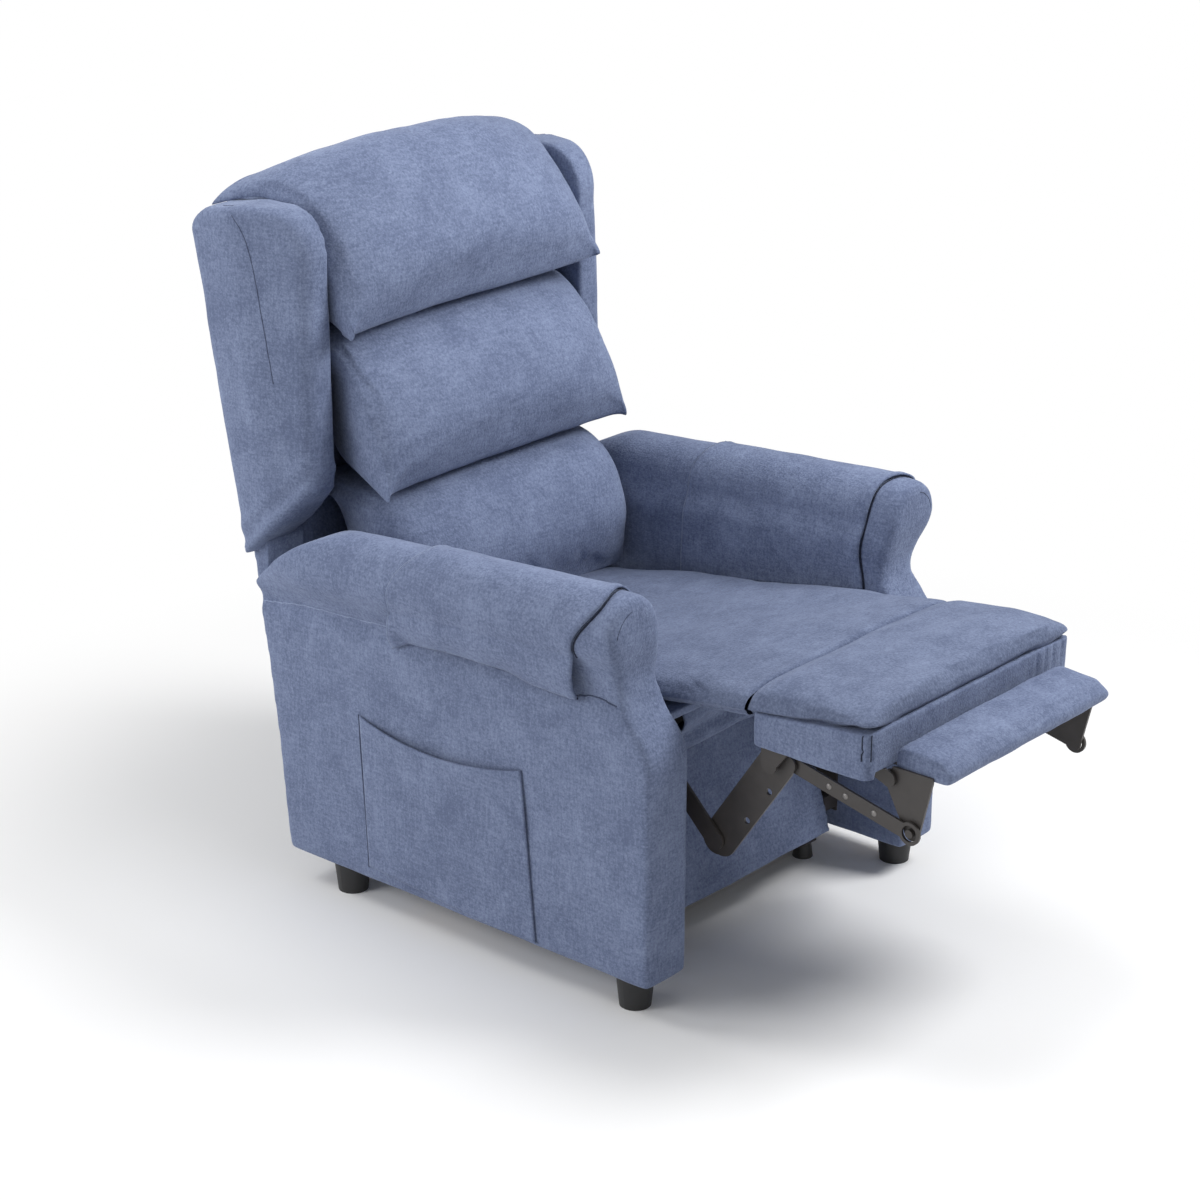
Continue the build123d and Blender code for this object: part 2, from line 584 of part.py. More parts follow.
def make_carcass():
    plate = profile(
        [(SEAT_FRONT - 6, FRONT_BOARD_TOP - 20), (SEAT_FRONT - 6, FRONT_BOARD_TOP),
         (SEAT_STEP + 4, FRONT_BOARD_TOP),
         (-150, 398), (SEAT_REAR, 372), (BACK_PIVOT[0] + 40, BACK_PIVOT[1]),
         (LIFT_REAR_CHAIR[0] + 26, 140), (LIFT_REAR_CHAIR[0] + 26, 76), (90, 104), (-60, 100), (-238, 80),
         (-238, 300), (DRIVE_PIVOT[0] - 26, DRIVE_PIVOT[1] - 20)],
        PLATE_IN, ARM_INNER)
    put("side_plates", *both(plate))
    pins = both(
        disc(LIFT_FRONT_CHAIR, PIN_R, FRONT_LINK_IN - 1, PLATE_IN),
        disc(LIFT_REAR_CHAIR, PIN_R, REAR_LINK_IN - 1, PLATE_IN),
        disc(BACK_PIVOT, PIN_R, BRACKET_IN - 1, PLATE_IN),
        (disc(DRIVE_PIVOT, PIN_R, DRIVE_IN - 1, PLATE_IN)
         + disc(DRIVE_PIVOT, PIN_R + 5, LEG_BRACKET_OUT + 2, PLATE_IN)))
    put("side_plate_pins", *pins)
    put("seat_front_board", block(-PLATE_IN, PLATE_IN, SEAT_FRONT, SEAT_STEP - 2,
                                  FRONT_BOARD_TOP - FRONT_BOARD_THICK, FRONT_BOARD_TOP))
    slope = degrees(atan2(SEAT_UNDER_SLOPE, 1.0))
    drop = (SOFT_GAP + SPRING_WIRE + SEAT_TUBE_R) / cos(radians(slope))
    tubes = {}
    for name, y in (("seat_front_tube", FRONT_TUBE_Y), ("seat_rear_tube", REAR_TUBE_Y)):
        tubes[name] = (y, seat_under(y) - drop)
        tube = disc(tubes[name], SEAT_TUBE_R, -PLATE_IN, PLATE_IN)
        put(name, tube)
    make_springs(slope)
    foot = tubes["seat_front_tube"]
    hanger = fork(RECLINE_MOTOR_PIVOT, RECLINE_MOTOR_X, (foot[0] - 11, foot[1]), (foot[0] + 11, foot[1]))
    trimmed = [(ear - disc(foot, SEAT_TUBE_R + RUNNING, -PLATE_IN, PLATE_IN)).solid() for ear in hanger[:2]]
    put("recline_motor_bracket", *trimmed, hanger[2])
    make_actuator("recline", RECLINE_MOTOR_PIVOT, LEVER_PIN, RECLINE_MOTOR_X,
                  LEVER_R + RECLINE_EYE_OPEN, RECLINE_ROD_ROOM)
    wide, deep, tall = CONTROL_BOX
    put("control_box", block(-PLATE_IN, wide - PLATE_IN, CONTROL_BOX_Y, CONTROL_BOX_Y + deep,
                             CONTROL_BOX_Z, CONTROL_BOX_Z + tall))
    low = (Align.CENTER, Align.CENTER, Align.MIN)
    face = Pos(wide / 2 - PLATE_IN, CONTROL_BOX_Y + deep, CONTROL_BOX_Z + tall / 2) * Rot(-90, 0, 0)
    socket = face * Pos(0, 0, 4) * Cylinder(SOCKET_R, INLET_LENGTH, align=low)
    put("mains_inlet", face * Cylinder(INLET_R, INLET_LENGTH, align=low) - socket)


def make_springs(slope):
    span = (REAR_TUBE_Y - FRONT_TUBE_Y) / cos(radians(slope)) + 2 * SEAT_TUBE_R
    pitch = span / (2 * SPRING_BENDS)
    springs = []
    for index in range(SPRING_COUNT):
        centre = (index - (SPRING_COUNT - 1) / 2) * (2 * PLATE_IN - 60) / SPRING_COUNT
        line = [(centre, 0)]
        for bend in range(1, 2 * SPRING_BENDS):
            line.append((centre + (SPRING_HALF if bend % 2 else -SPRING_HALF), bend * pitch))
        line.append((centre, span))
        wire = make_face(offset_ribbon(line, SPRING_WIRE / 2))
        springs.append(extrude(wire, SPRING_WIRE, dir=(0, 0, 1)))
    front = FRONT_TUBE_Y - SEAT_TUBE_R
    down = seat_under(front) - (SOFT_GAP + SPRING_WIRE) / cos(radians(slope))
    place = Pos(0, front, down) * Rot(-slope, 0, 0)
    put("seat_springs", *[place * spring for spring in springs])


def offset_ribbon(line, half):
    """A closed zigzag outline of even width along a zigzag line of (X, Y) points."""
    left, right = [], []
    for index, point in enumerate(line):
        before = line[max(index - 1, 0)]
        after = line[min(index + 1, len(line) - 1)]
        run_in = hypot(point[0] - before[0], point[1] - before[1]) or 1.0
        run_out = hypot(after[0] - point[0], after[1] - point[1]) or 1.0
        way_in = ((point[0] - before[0]) / run_in, (point[1] - before[1]) / run_in)
        way_out = ((after[0] - point[0]) / run_out, (after[1] - point[1]) / run_out)
        if index == 0:
            way_in = way_out
        if index == len(line) - 1:
            way_out = way_in
        normal = (-(way_in[1] + way_out[1]), way_in[0] + way_out[0])
        size = hypot(*normal)
        normal = (normal[0] / size, normal[1] / size)
        reach = half / max(0.2, normal[0] * -way_in[1] + normal[1] * way_in[0])
        left.append((point[0] + normal[0] * reach, point[1] + normal[1] * reach))
        right.append((point[0] - normal[0] * reach, point[1] - normal[1] * reach))
    return Polyline(*left, *reversed(right), close=True)


def make_seat():
    half = BRACKET_OUT + BACK_SIDE_CLEAR - SEAT_SIDE_GAP

    def outline(fullness):
        drop = 22 * (1 - fullness)
        return Polyline(
            (SEAT_FRONT, FRONT_BOARD_TOP + SOFT_GAP), (SEAT_FRONT, SEAT_TOP_FRONT - 10 - drop),
            (SEAT_FRONT + 18, SEAT_TOP_FRONT - drop), (SEAT_REAR - 22, SEAT_TOP_REAR - drop),
            (SEAT_REAR, SEAT_TOP_REAR - 14 - drop), (SEAT_REAR, seat_under(SEAT_REAR)),
            (SEAT_STEP + 12, seat_under(SEAT_STEP + 12)), (SEAT_STEP, FRONT_BOARD_TOP + SOFT_GAP),
            close=True)

    put("seat_cushion", crowned(crown_stations(half, 22, 0.2), outline))
    groove = tan(radians(FOLD_ANGLE / 2 + 1)) * (PAD_FOLD[1] - BRIDGE_UNDER)
    fold_rear, fold_front = PAD_FOLD[0] + FOLD_GAP, PAD_FOLD[0] - FOLD_GAP

    def rear_bridge(fullness):
        drop = 16 * (1 - fullness)
        return Polyline(
            (SEAT_FRONT - SOFT_GAP, BRIDGE_UNDER), (SEAT_FRONT - SOFT_GAP, SEAT_TOP_FRONT + 4 - drop),
            (fold_rear, BRIDGE_TOP - drop * 0.4), (fold_rear, PAD_FOLD[1]),
            (fold_rear + groove, BRIDGE_UNDER), close=True)

    def front_bridge(fullness):
        drop = 16 * (1 - fullness)
        return Polyline(
            (LEG_REAR + SOFT_GAP, BRIDGE_UNDER), (LEG_REAR + SOFT_GAP, LEG_TOP - 2 - drop),
            (fold_front, BRIDGE_TOP - drop * 0.4), (fold_front, PAD_FOLD[1]),
            (fold_front - groove, BRIDGE_UNDER), close=True)

    put("seat_bridge_rear", crowned(crown_stations(LEG_HALF, 20, 0.2), rear_bridge))
    put("seat_bridge_front", crowned(crown_stations(LEG_HALF, 20, 0.2), front_bridge))


def make_front_panel():
    lean = tan(radians(KICK_LEAN)) * (KICK_TOP - KICK_BOTTOM)
    thick = KICK_THICK / cos(radians(KICK_LEAN))
    panel = profile(
        [(KICK_FRONT, KICK_BOTTOM), (KICK_FRONT + lean, KICK_TOP), (KICK_FRONT + lean + thick, KICK_TOP),
         (KICK_FRONT + thick, KICK_BOTTOM)], -KICK_HALF, KICK_HALF)
    for x0, x1 in ((-KICK_HALF, -KICK_NECK), (KICK_NECK, KICK_HALF)):
        panel = panel - block(x0, x1, KICK_FRONT, KICK_FRONT + lean + thick, KICK_SHOULDER, KICK_TOP)
    put("front_panel", panel.solid())
    top_front = KICK_FRONT + lean
    board_under = FRONT_BOARD_TOP - FRONT_BOARD_THICK
    gusset = profile(
        [(top_front, KICK_TOP), (top_front + GUSSET_THICK, KICK_TOP),
         (GUSSET_TOP_Y + GUSSET_THICK, board_under), (GUSSET_TOP_Y, board_under)], -FLIP_HALF, FLIP_HALF)
    put("front_gusset", gusset)
    low, high = KICK_BOTTOM + 28, KICK_BOTTOM + 52
    shift = tan(radians(KICK_LEAN)) * (low - KICK_BOTTOM)
    front = KICK_FRONT + shift + 8
    put("front_panel_brackets", *both(block(KICK_HALF, PLATE_IN, front, front + 14, low, high)))


# Legrest, flipper and their links
def make_legrest():
    put("legrest_board", block(-LEG_HALF, LEG_HALF, LEG_FRONT, LEG_REAR, LEG_UNDER, LEG_UNDER + LEG_BOARD))
    base = LEG_UNDER + LEG_BOARD + SOFT_GAP

    def outline(fullness):
        drop = 12 * (1 - fullness)
        return Polyline((LEG_REAR, base), (LEG_REAR, LEG_TOP - 6 - drop), (LEG_REAR - 14, LEG_TOP - drop),
                        (0.5 * (LEG_REAR + LEG_FRONT), LEG_TOP + LEG_CROWN - drop),
                        (LEG_FRONT + 16, LEG_TOP + 0.5 * LEG_CROWN - drop), (LEG_FRONT, LEG_TOP - 6 - drop),
                        (LEG_FRONT, base), close=True)

    put("legrest_pad", crowned(crown_stations(LEG_HALF, 20, 0.2), outline))
    eye = SMALL_PIN_R + 7
    bracket = profile([(PLATE_HIGH[0] - 45, LEG_UNDER), (PLATE_HIGH[0] + 14, LEG_UNDER),
                       (PLATE_HIGH[0] + eye, PLATE_HIGH[1]), (PLATE_HIGH[0] - eye, PLATE_HIGH[1])],
                      LEG_BRACKET_IN, LEG_BRACKET_OUT)
    bracket = bracket + disc(PLATE_HIGH, eye, LEG_BRACKET_IN, LEG_BRACKET_OUT)
    lug = profile([(LEG_FRONT + 60, LEG_UNDER), (LEG_FRONT, LEG_UNDER),
                   (FLIPPER_HINGE[0] - 6, FLIPPER_HINGE[1] + 9), (FLIPPER_HINGE[0], FLIPPER_HINGE[1] - 11)],
                  FLIP_LINK_IN, FLIP_LINK_OUT)
    lug = lug + disc(FLIPPER_HINGE, 11, FLIP_LINK_IN, FLIP_LINK_OUT)
    lug = lug & block(FLIP_LINK_IN, FLIP_LINK_OUT, FLIPPER_HINGE[0] - 20, LEG_REAR, 0, LEG_UNDER)
    put("legrest_brackets", *both(bracket.solid(), lug.solid()))
    put("legrest_pins", *both(
        disc(PLATE_HIGH, SMALL_PIN_R, WIDE_IN - 1, LEG_BRACKET_IN),
        disc(FLIPPER_HINGE, SMALL_PIN_R, FLIP_HALF - 1, FLIP_LINK_IN)))

    drive = bar(DRIVE_PIVOT, PLATE_LOW, 15, DRIVE_IN, DRIVE_OUT)
    drive = drive - disc(DRIVE_PIVOT, PIN_R + RUNNING, DRIVE_IN, DRIVE_OUT)
    drive_pin = disc(PLATE_LOW, SMALL_PIN_R, WIDE_IN - 1, DRIVE_IN)
    put("legrest_drive_links", *both(drive.solid(), drive_pin))

    wide = bar(PLATE_LOW, PLATE_HIGH, WIDE_HALF, WIDE_IN, WIDE_OUT)
    wide = wide + bar(ahead(PLATE_LOW, WIDE_LAP), ahead(PLATE_HIGH, WIDE_LAP), WIDE_HALF, WIDE_IN, WIDE_OUT)
    wide = wide + bar(PLATE_HIGH, FLIPPER_LINK_REAR, 12, WIDE_IN, WIDE_OUT)
    for share in (0.3, 0.68):
        spot = ahead(between(PLATE_LOW, PLATE_HIGH, share), WIDE_HALF)
        wide = wide - disc(spot, WIDE_HOLE_R, WIDE_IN, WIDE_OUT)
    wide = wide - disc(PLATE_LOW, SMALL_PIN_R + RUNNING, WIDE_IN, WIDE_OUT)
    wide = wide - disc(PLATE_HIGH, SMALL_PIN_R + OPEN_PIVOT, WIDE_IN, WIDE_OUT)
    put("legrest_wide_links", *both(wide.solid()))
    put("wide_link_pins", *both(disc(FLIPPER_LINK_REAR, SMALL_PIN_R, FLIP_LINK_IN - 1, WIDE_IN)))

    thin = bar(FLIPPER_LINK_REAR, FLIPPER_LINK_FRONT, 11, FLIP_LINK_IN, FLIP_LINK_OUT)
    thin = thin + disc(FLIPPER_LINK_FRONT, SMALL_PIN_R + FLIPPER_OPEN + 5, FLIP_LINK_IN, FLIP_LINK_OUT)
    thin = thin - disc(FLIPPER_LINK_REAR, SMALL_PIN_R + RUNNING, FLIP_LINK_IN, FLIP_LINK_OUT)
    thin = thin - disc(FLIPPER_LINK_FRONT, SMALL_PIN_R + FLIPPER_OPEN, FLIP_LINK_IN, FLIP_LINK_OUT)
    put("flipper_links", *both(thin.solid()))


def make_flipper():
    put("flipper_board", block(-FLIP_HALF, FLIP_HALF, FLIP_FRONT + 6, FLIP_REAR - 2, FLIP_UNDER,
                               FLIP_UNDER + FLIP_BOARD))
    base = FLIP_UNDER + FLIP_BOARD + SOFT_GAP

    def outline(fullness):
        drop = 6 * (1 - fullness)
        return Polyline((FLIP_REAR, base), (FLIP_REAR, FLIP_TOP - 8 - drop),
                        (FLIP_REAR - 0.12 * FLIP_DEPTH, FLIP_TOP - drop),
                        (FLIP_FRONT + 0.24 * FLIP_DEPTH, FLIP_TOP - 3 - drop),
                        (FLIP_FRONT, FLIP_TOP - 19 - drop), (FLIP_FRONT, base), close=True)

    put("flipper_pad", crowned(crown_stations(FLIP_HALF, 16, 0.2), outline))
    low, high = FLIP_HALF, FLIP_BRACKET_OUT
    top = FLIP_UNDER + FLIP_BOARD
    eye = 2 * SMALL_PIN_R
    bracket = profile(
        [(FLIPPER_HINGE[0] - 3, top), (FLIP_FRONT + 28, top), (FLIP_FRONT + 28, FLIP_UNDER),
         (FLIPPER_LINK_FRONT[0] - eye, FLIPPER_LINK_FRONT[1]),
         (FLIPPER_LINK_FRONT[0] + eye, FLIPPER_LINK_FRONT[1]),
         (FLIPPER_HINGE[0] + 8, FLIPPER_HINGE[1] - 8)], low, high)
    bracket = bracket + disc(FLIPPER_HINGE, eye, low, high) + disc(FLIPPER_LINK_FRONT, eye, low, high)
    bracket = bracket - disc(FLIPPER_HINGE, SMALL_PIN_R + RUNNING, low, high)
    pin = disc(FLIPPER_LINK_FRONT, SMALL_PIN_R, high, FLIP_LINK_OUT + 1)
    put("flipper_brackets", *both(bracket.solid(), pin))


# Back
def back_line(z, forward):
    """A (Y, Z) point on the back at height z, that far in front of its rear face."""
    return (BACK_REAR_Y + (z - BACK_REAR_Z) * tan(radians(BACK_LEAN)) - forward, z)


def back_slab(x0, x1, z0, z1, rear, front):
    corners = [back_line(z0, rear), back_line(z1, rear), back_line(z1, front), back_line(z0, front)]
    return profile(corners, x0, x1)


def make_back():
    post_out = BRACKET_IN
    post_in = post_out - POST_WIDTH
    frame_front = BACK_PANEL + POST_DEPTH
    put("back_posts", *both(back_slab(post_in, post_out, BACK_BOTTOM, BACK_TOP, BACK_PANEL, frame_front)))
    rails = []
    for low in (BACK_BOTTOM, BACK_TOP - RAIL_HEIGHT):
        rails.append(back_slab(-post_in, post_in, low, low + RAIL_HEIGHT, BACK_PANEL, frame_front))
    put("back_rails", *rails)
    side = WING_INNER - SOFT_GAP
    panel = back_slab(-side, side, BACK_SHOULDER, BACK_TOP, 0, BACK_PANEL)
    panel = panel + back_slab(-post_out, post_out, BACK_BOTTOM, BACK_SHOULDER, 0, BACK_PANEL)
    put("back_rear_panel", panel.solid())
    web_front = frame_front + WEB_THICK
    put("back_webbing", back_slab(-post_out, post_out, BACK_BOTTOM, BACK_TOP, frame_front, web_front))
    bracket = profile(
        [back_line(540, BACK_PANEL), back_line(540, frame_front), back_line(430, frame_front + 10),
         (BACK_PIVOT[0] - 14, BACK_PIVOT[1] + 17), (BACK_PIVOT[0] - 20, BACK_PIVOT[1]),
         (LEVER_PIN[0] - 16, LEVER_PIN[1]), (LEVER_PIN[0] + 16, LEVER_PIN[1]),
         (BACK_PIVOT[0] + 36, BACK_PIVOT[1] - 18), back_line(BACK_BOTTOM, BACK_PANEL)],
        BRACKET_IN, BRACKET_OUT)
    bracket = bracket + disc(BACK_PIVOT, 20, BRACKET_IN, BRACKET_OUT)
    bracket = bracket + disc(LEVER_PIN, 16, BRACKET_IN, BRACKET_OUT)
    bracket = bracket - disc(BACK_PIVOT, PIN_R + RUNNING, BRACKET_IN, BRACKET_OUT)
    put("back_brackets", *both(bracket.solid()))
    put("back_lever_tube", disc(LEVER_PIN, LEVER_R, -BRACKET_IN, BRACKET_IN))
    make_wings()
    make_pillows(web_front + SOFT_GAP)


def make_wings():
    bottom_rear = back_line(BACK_REAR_Z, 0)
    top_rear = back_line(WING_REAR_TOP, 0)
    tip = (WING_LOW_FRONT[0] + 3, WING_LOW)
    crest_front, crest_rear = (WING_TOP[0], WING_TOP[2]), (WING_TOP[1], WING_TOP[2])
    outline = make_face([
        Line(tip, WING_LOW_FRONT),
        Line(WING_LOW_FRONT, WING_TOP_FRONT),
        ThreePointArc(WING_TOP_FRONT, WING_SHOULDER, crest_front),
        Line(crest_front, crest_rear),
        ThreePointArc(crest_rear, WING_REAR_ROUND, top_rear),
        Line(top_rear, bottom_rear),
        Line(bottom_rear, tip),
    ])
    wing = extrude(Plane.YZ.offset(WING_INNER) * outline, WING_THICK, dir=(1, 0, 0))
    outer = wing.faces().sort_by(Axis.X)[-1]
    wing = fillet(outer.edges(), WING_ROUND)
    put_pair("wing", wing)


def pillow(half, sizes, seam, rest, edge):
    """A stuffed bag on the back: full in the middle, closing towards a seam at its two ends."""
    full = [*sizes[:4], back_line(sizes[4], rest), back_line(sizes[5], rest)]

    def outline(fullness):
        line = [between(end, point, fullness) for end, point in zip(seam, full)]
        return [
            Line(line[5], line[0]),
            ThreePointArc(line[0], line[1], line[2]),
            ThreePointArc(line[2], line[3], line[4]),
            Line(line[4], line[5]),
        ]

    shares = ((1.0, 0.0), (0.86, 0.56), (0.6, 0.9))
    near = [(-half * along, edge + (1 - edge) * fullness) for along, fullness in shares]
    far = [(-x, fullness) for x, fullness in reversed(near)]
    return crowned([*near, (0, 1.0), *far], outline)


def make_pillows(rest):
    put("head_pillow", pillow(PILLOW_HALF, HEAD_PILLOW, HEAD_SEAM, rest, PILLOW_EDGE))
    put("middle_pillow", pillow(PILLOW_HALF, MIDDLE_PILLOW, MIDDLE_SEAM, rest, PILLOW_EDGE))
    put("lumbar_pillow", pillow(LUMBAR_HALF, LUMBAR_PILLOW, LUMBAR_SEAM, rest, LUMBAR_EDGE))


def write_parts():
    """Centre the part fore and aft over the origin and write one file for each piece."""
    boxes = [shape.bounding_box() for solids in nodes.values() for shape in solids]
    shift = -(min(box.min.Y for box in boxes) + max(box.max.Y for box in boxes)) / 2
    print("fore and aft shift", round(shift, 4))
    os.makedirs("parts", exist_ok=True)
    for name, solids in nodes.items():
        moved = [Pos(0, shift, 0) * solid for solid in solids]
        shape = moved[0] if len(moved) == 1 else Compound(children=moved)
        export_step(shape, f"parts/{name}.step")


make_arms()
make_pocket()
make_base()
make_lift()
make_carcass()
make_seat()
make_front_panel()
make_legrest()
make_flipper()
make_back()
write_parts()
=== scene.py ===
import json
import math
import bmesh
import bpy
import numpy as np
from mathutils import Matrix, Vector, noise
from mathutils.bvhtree import BVHTree


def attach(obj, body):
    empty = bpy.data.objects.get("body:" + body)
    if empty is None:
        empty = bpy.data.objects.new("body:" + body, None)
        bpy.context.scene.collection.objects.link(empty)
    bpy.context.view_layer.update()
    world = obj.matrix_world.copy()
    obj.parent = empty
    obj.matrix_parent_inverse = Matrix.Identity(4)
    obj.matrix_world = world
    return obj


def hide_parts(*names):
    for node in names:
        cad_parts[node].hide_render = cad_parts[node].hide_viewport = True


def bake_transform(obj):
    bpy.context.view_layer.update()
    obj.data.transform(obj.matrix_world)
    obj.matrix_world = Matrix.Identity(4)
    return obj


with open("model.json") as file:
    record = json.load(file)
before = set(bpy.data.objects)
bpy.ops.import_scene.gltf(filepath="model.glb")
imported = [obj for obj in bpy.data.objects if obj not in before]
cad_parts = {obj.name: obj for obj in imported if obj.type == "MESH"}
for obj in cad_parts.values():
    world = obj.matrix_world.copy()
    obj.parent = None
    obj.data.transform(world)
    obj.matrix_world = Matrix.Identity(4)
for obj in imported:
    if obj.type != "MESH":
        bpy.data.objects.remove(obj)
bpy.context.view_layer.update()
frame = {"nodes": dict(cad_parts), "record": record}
nodes = frame["nodes"]

# Camera
# A long lens looks down on the chair from in front of the sitter's right arm.
# Places below are in millimetres from the seat's own zero, FORE behind the frame's origin.
FORE = 111.785


def at(x, y, z):
    """A place in the frame, in metres."""
    return Vector((x, y + FORE, z)) / 1000


scene = bpy.context.scene
scene.view_settings.view_transform = "Standard"
lens = bpy.data.cameras.new("camera")
lens.lens = 87.65
lens.sensor_width = 36
camera = bpy.data.objects.new("camera", lens)
scene.collection.objects.link(camera)
camera.location = at(-3133.2, -2685.2, 1996.0)
aim = at(-32.35, 0, 455.34)
camera.rotation_euler = (aim - camera.location).to_track_quat("-Z", "Y").to_euler()
scene.camera = camera

# Studio floor and light
# A wide white floor takes the soft shadow and runs out into a white surround.
# The main soft lamp hangs in front at the picture's right and a wide one fills from its left; weaker
# ones hang behind the chair and over the seat.
FLOOR_SIZE = 7.0
FLOOR_WHITE = (0.96, 0.96, 0.96, 1)
FLOOR_FADE = (0.90, 1.60)
ROOM_LIGHT = 0.34


def shader(tree, kind, settings=None, **sockets):
    """A new node with its settings and socket values; a socket given another node's output is linked."""
    made = tree.nodes.new(kind)
    for key, value in (settings or {}).items():
        setattr(made, key, value)
    for key, value in sockets.items():
        by_number = key[0] == "i" and key[1:].isdigit()
        socket = made.inputs[int(key[1:]) if by_number else key.replace("_", " ")]
        if isinstance(value, bpy.types.NodeSocket):
            tree.links.new(value, socket)
        else:
            socket.default_value = value
    return made


def background_rays(tree):
    """1 where the camera, a mirror or glass looks at the surface, 0 for light that falls on the chair."""
    path = shader(tree, "ShaderNodeLightPath")
    first = shader(tree, "ShaderNodeMath", {"operation": "MAXIMUM"},
                   i0=path.outputs["Is Camera Ray"], i1=path.outputs["Is Glossy Ray"])
    return shader(tree, "ShaderNodeMath", {"operation": "MAXIMUM"},
                  i0=first.outputs[0], i1=path.outputs["Is Transmission Ray"]).outputs[0]


def piece(name, shape, finish):
    """A smooth mesh object made from a bmesh."""
    bmesh.ops.recalc_face_normals(shape, faces=shape.faces)
    mesh = bpy.data.meshes.new(name)
    shape.to_mesh(mesh)
    shape.free()
    mesh.polygons.foreach_set("use_smooth", [True] * len(mesh.polygons))
    made = bpy.data.objects.new(name, mesh)
    scene.collection.objects.link(made)
    mesh.materials.append(finish)
    return made


floor_paint = bpy.data.materials.new("studio_floor")
floor_paint.use_nodes = True
tree = floor_paint.node_tree
tree.nodes.clear()
place = shader(tree, "ShaderNodeTexCoord").outputs["Object"]
reach = shader(tree, "ShaderNodeVectorMath", {"operation": "LENGTH"}, i0=place)
fade = shader(tree, "ShaderNodeMapRange", {"interpolation_type": "SMOOTHSTEP"},
              Value=reach.outputs["Value"], From_Min=FLOOR_FADE[0], From_Max=FLOOR_FADE[1])
white_out = shader(tree, "ShaderNodeMath", {"operation": "MULTIPLY"},
                   i0=fade.outputs[0], i1=background_rays(tree))
matt = shader(tree, "ShaderNodeBsdfDiffuse", Color=FLOOR_WHITE)
glow = shader(tree, "ShaderNodeEmission", Strength=1.0)
mixed = shader(tree, "ShaderNodeMixShader", i0=white_out.outputs[0], i1=matt.outputs[0], i2=glow.outputs[0])
shader(tree, "ShaderNodeOutputMaterial", Surface=mixed.outputs[0])

ground = bmesh.new()
bmesh.ops.create_grid(ground, x_segments=2, y_segments=2, size=FLOOR_SIZE)
floor = piece("studio_floor", ground, floor_paint)

world = bpy.data.worlds.new("studio")
scene.world = world
world.use_nodes = True
tree = world.node_tree
tree.nodes.clear()
level = shader(tree, "ShaderNodeMapRange", Value=background_rays(tree), To_Min=ROOM_LIGHT, To_Max=1.0)
sky = shader(tree, "ShaderNodeBackground", Color=(1, 1, 1, 1), Strength=level.outputs[0])
shader(tree, "ShaderNodeOutputWorld", Surface=sky.outputs[0])


def lamp(name, place, target, size, watts):
    """A round area lamp that points at the target."""
    light = bpy.data.lights.new(name, "AREA")
    light.shape = "DISK"
    light.size = size
    light.energy = watts
    made = bpy.data.objects.new(name, light)
    made.location = place
    made.rotation_euler = (target - place).to_track_quat("-Z", "Y").to_euler()
    scene.collection.objects.link(made)


lamp("over_lamp", at(-100, -100, 2250), at(0, 0, 500), 0.9, 9)
lamp("front_lamp", at(1100, -1400, 2250), at(0, 100, 600), 1.1, 52)
lamp("rear_lamp", at(-1100, 1900, 2300), at(0, 0, 400), 1.0, 19)
lamp("left_fill", at(-2700, 1300, 1500), at(0, 0, 500), 1.8, 37)

# Upholstery cloth
# A blue-grey chenille: a soft pile that catches light in cloudy patches where it is brushed,
# over a fine basket weave that shows as grain close up. The same cloth covers every padded piece; on
# the seat and the legrest a darker copy of it paints in shade that the lamps don't give there. Seam
# lines are cords of it in darker shades, painted shadow and shade in gaps, grooves and creases, and in
# a paler shade, painted highlight on raised seam edges.
PILE_DARK = (0.112, 0.140, 0.232, 1)
PILE_LIGHT = (0.235, 0.285, 0.425, 1)
# How much darker the seat and legrest copy of the cloth is: painted shade.
SEAT_SHADE = 0.82


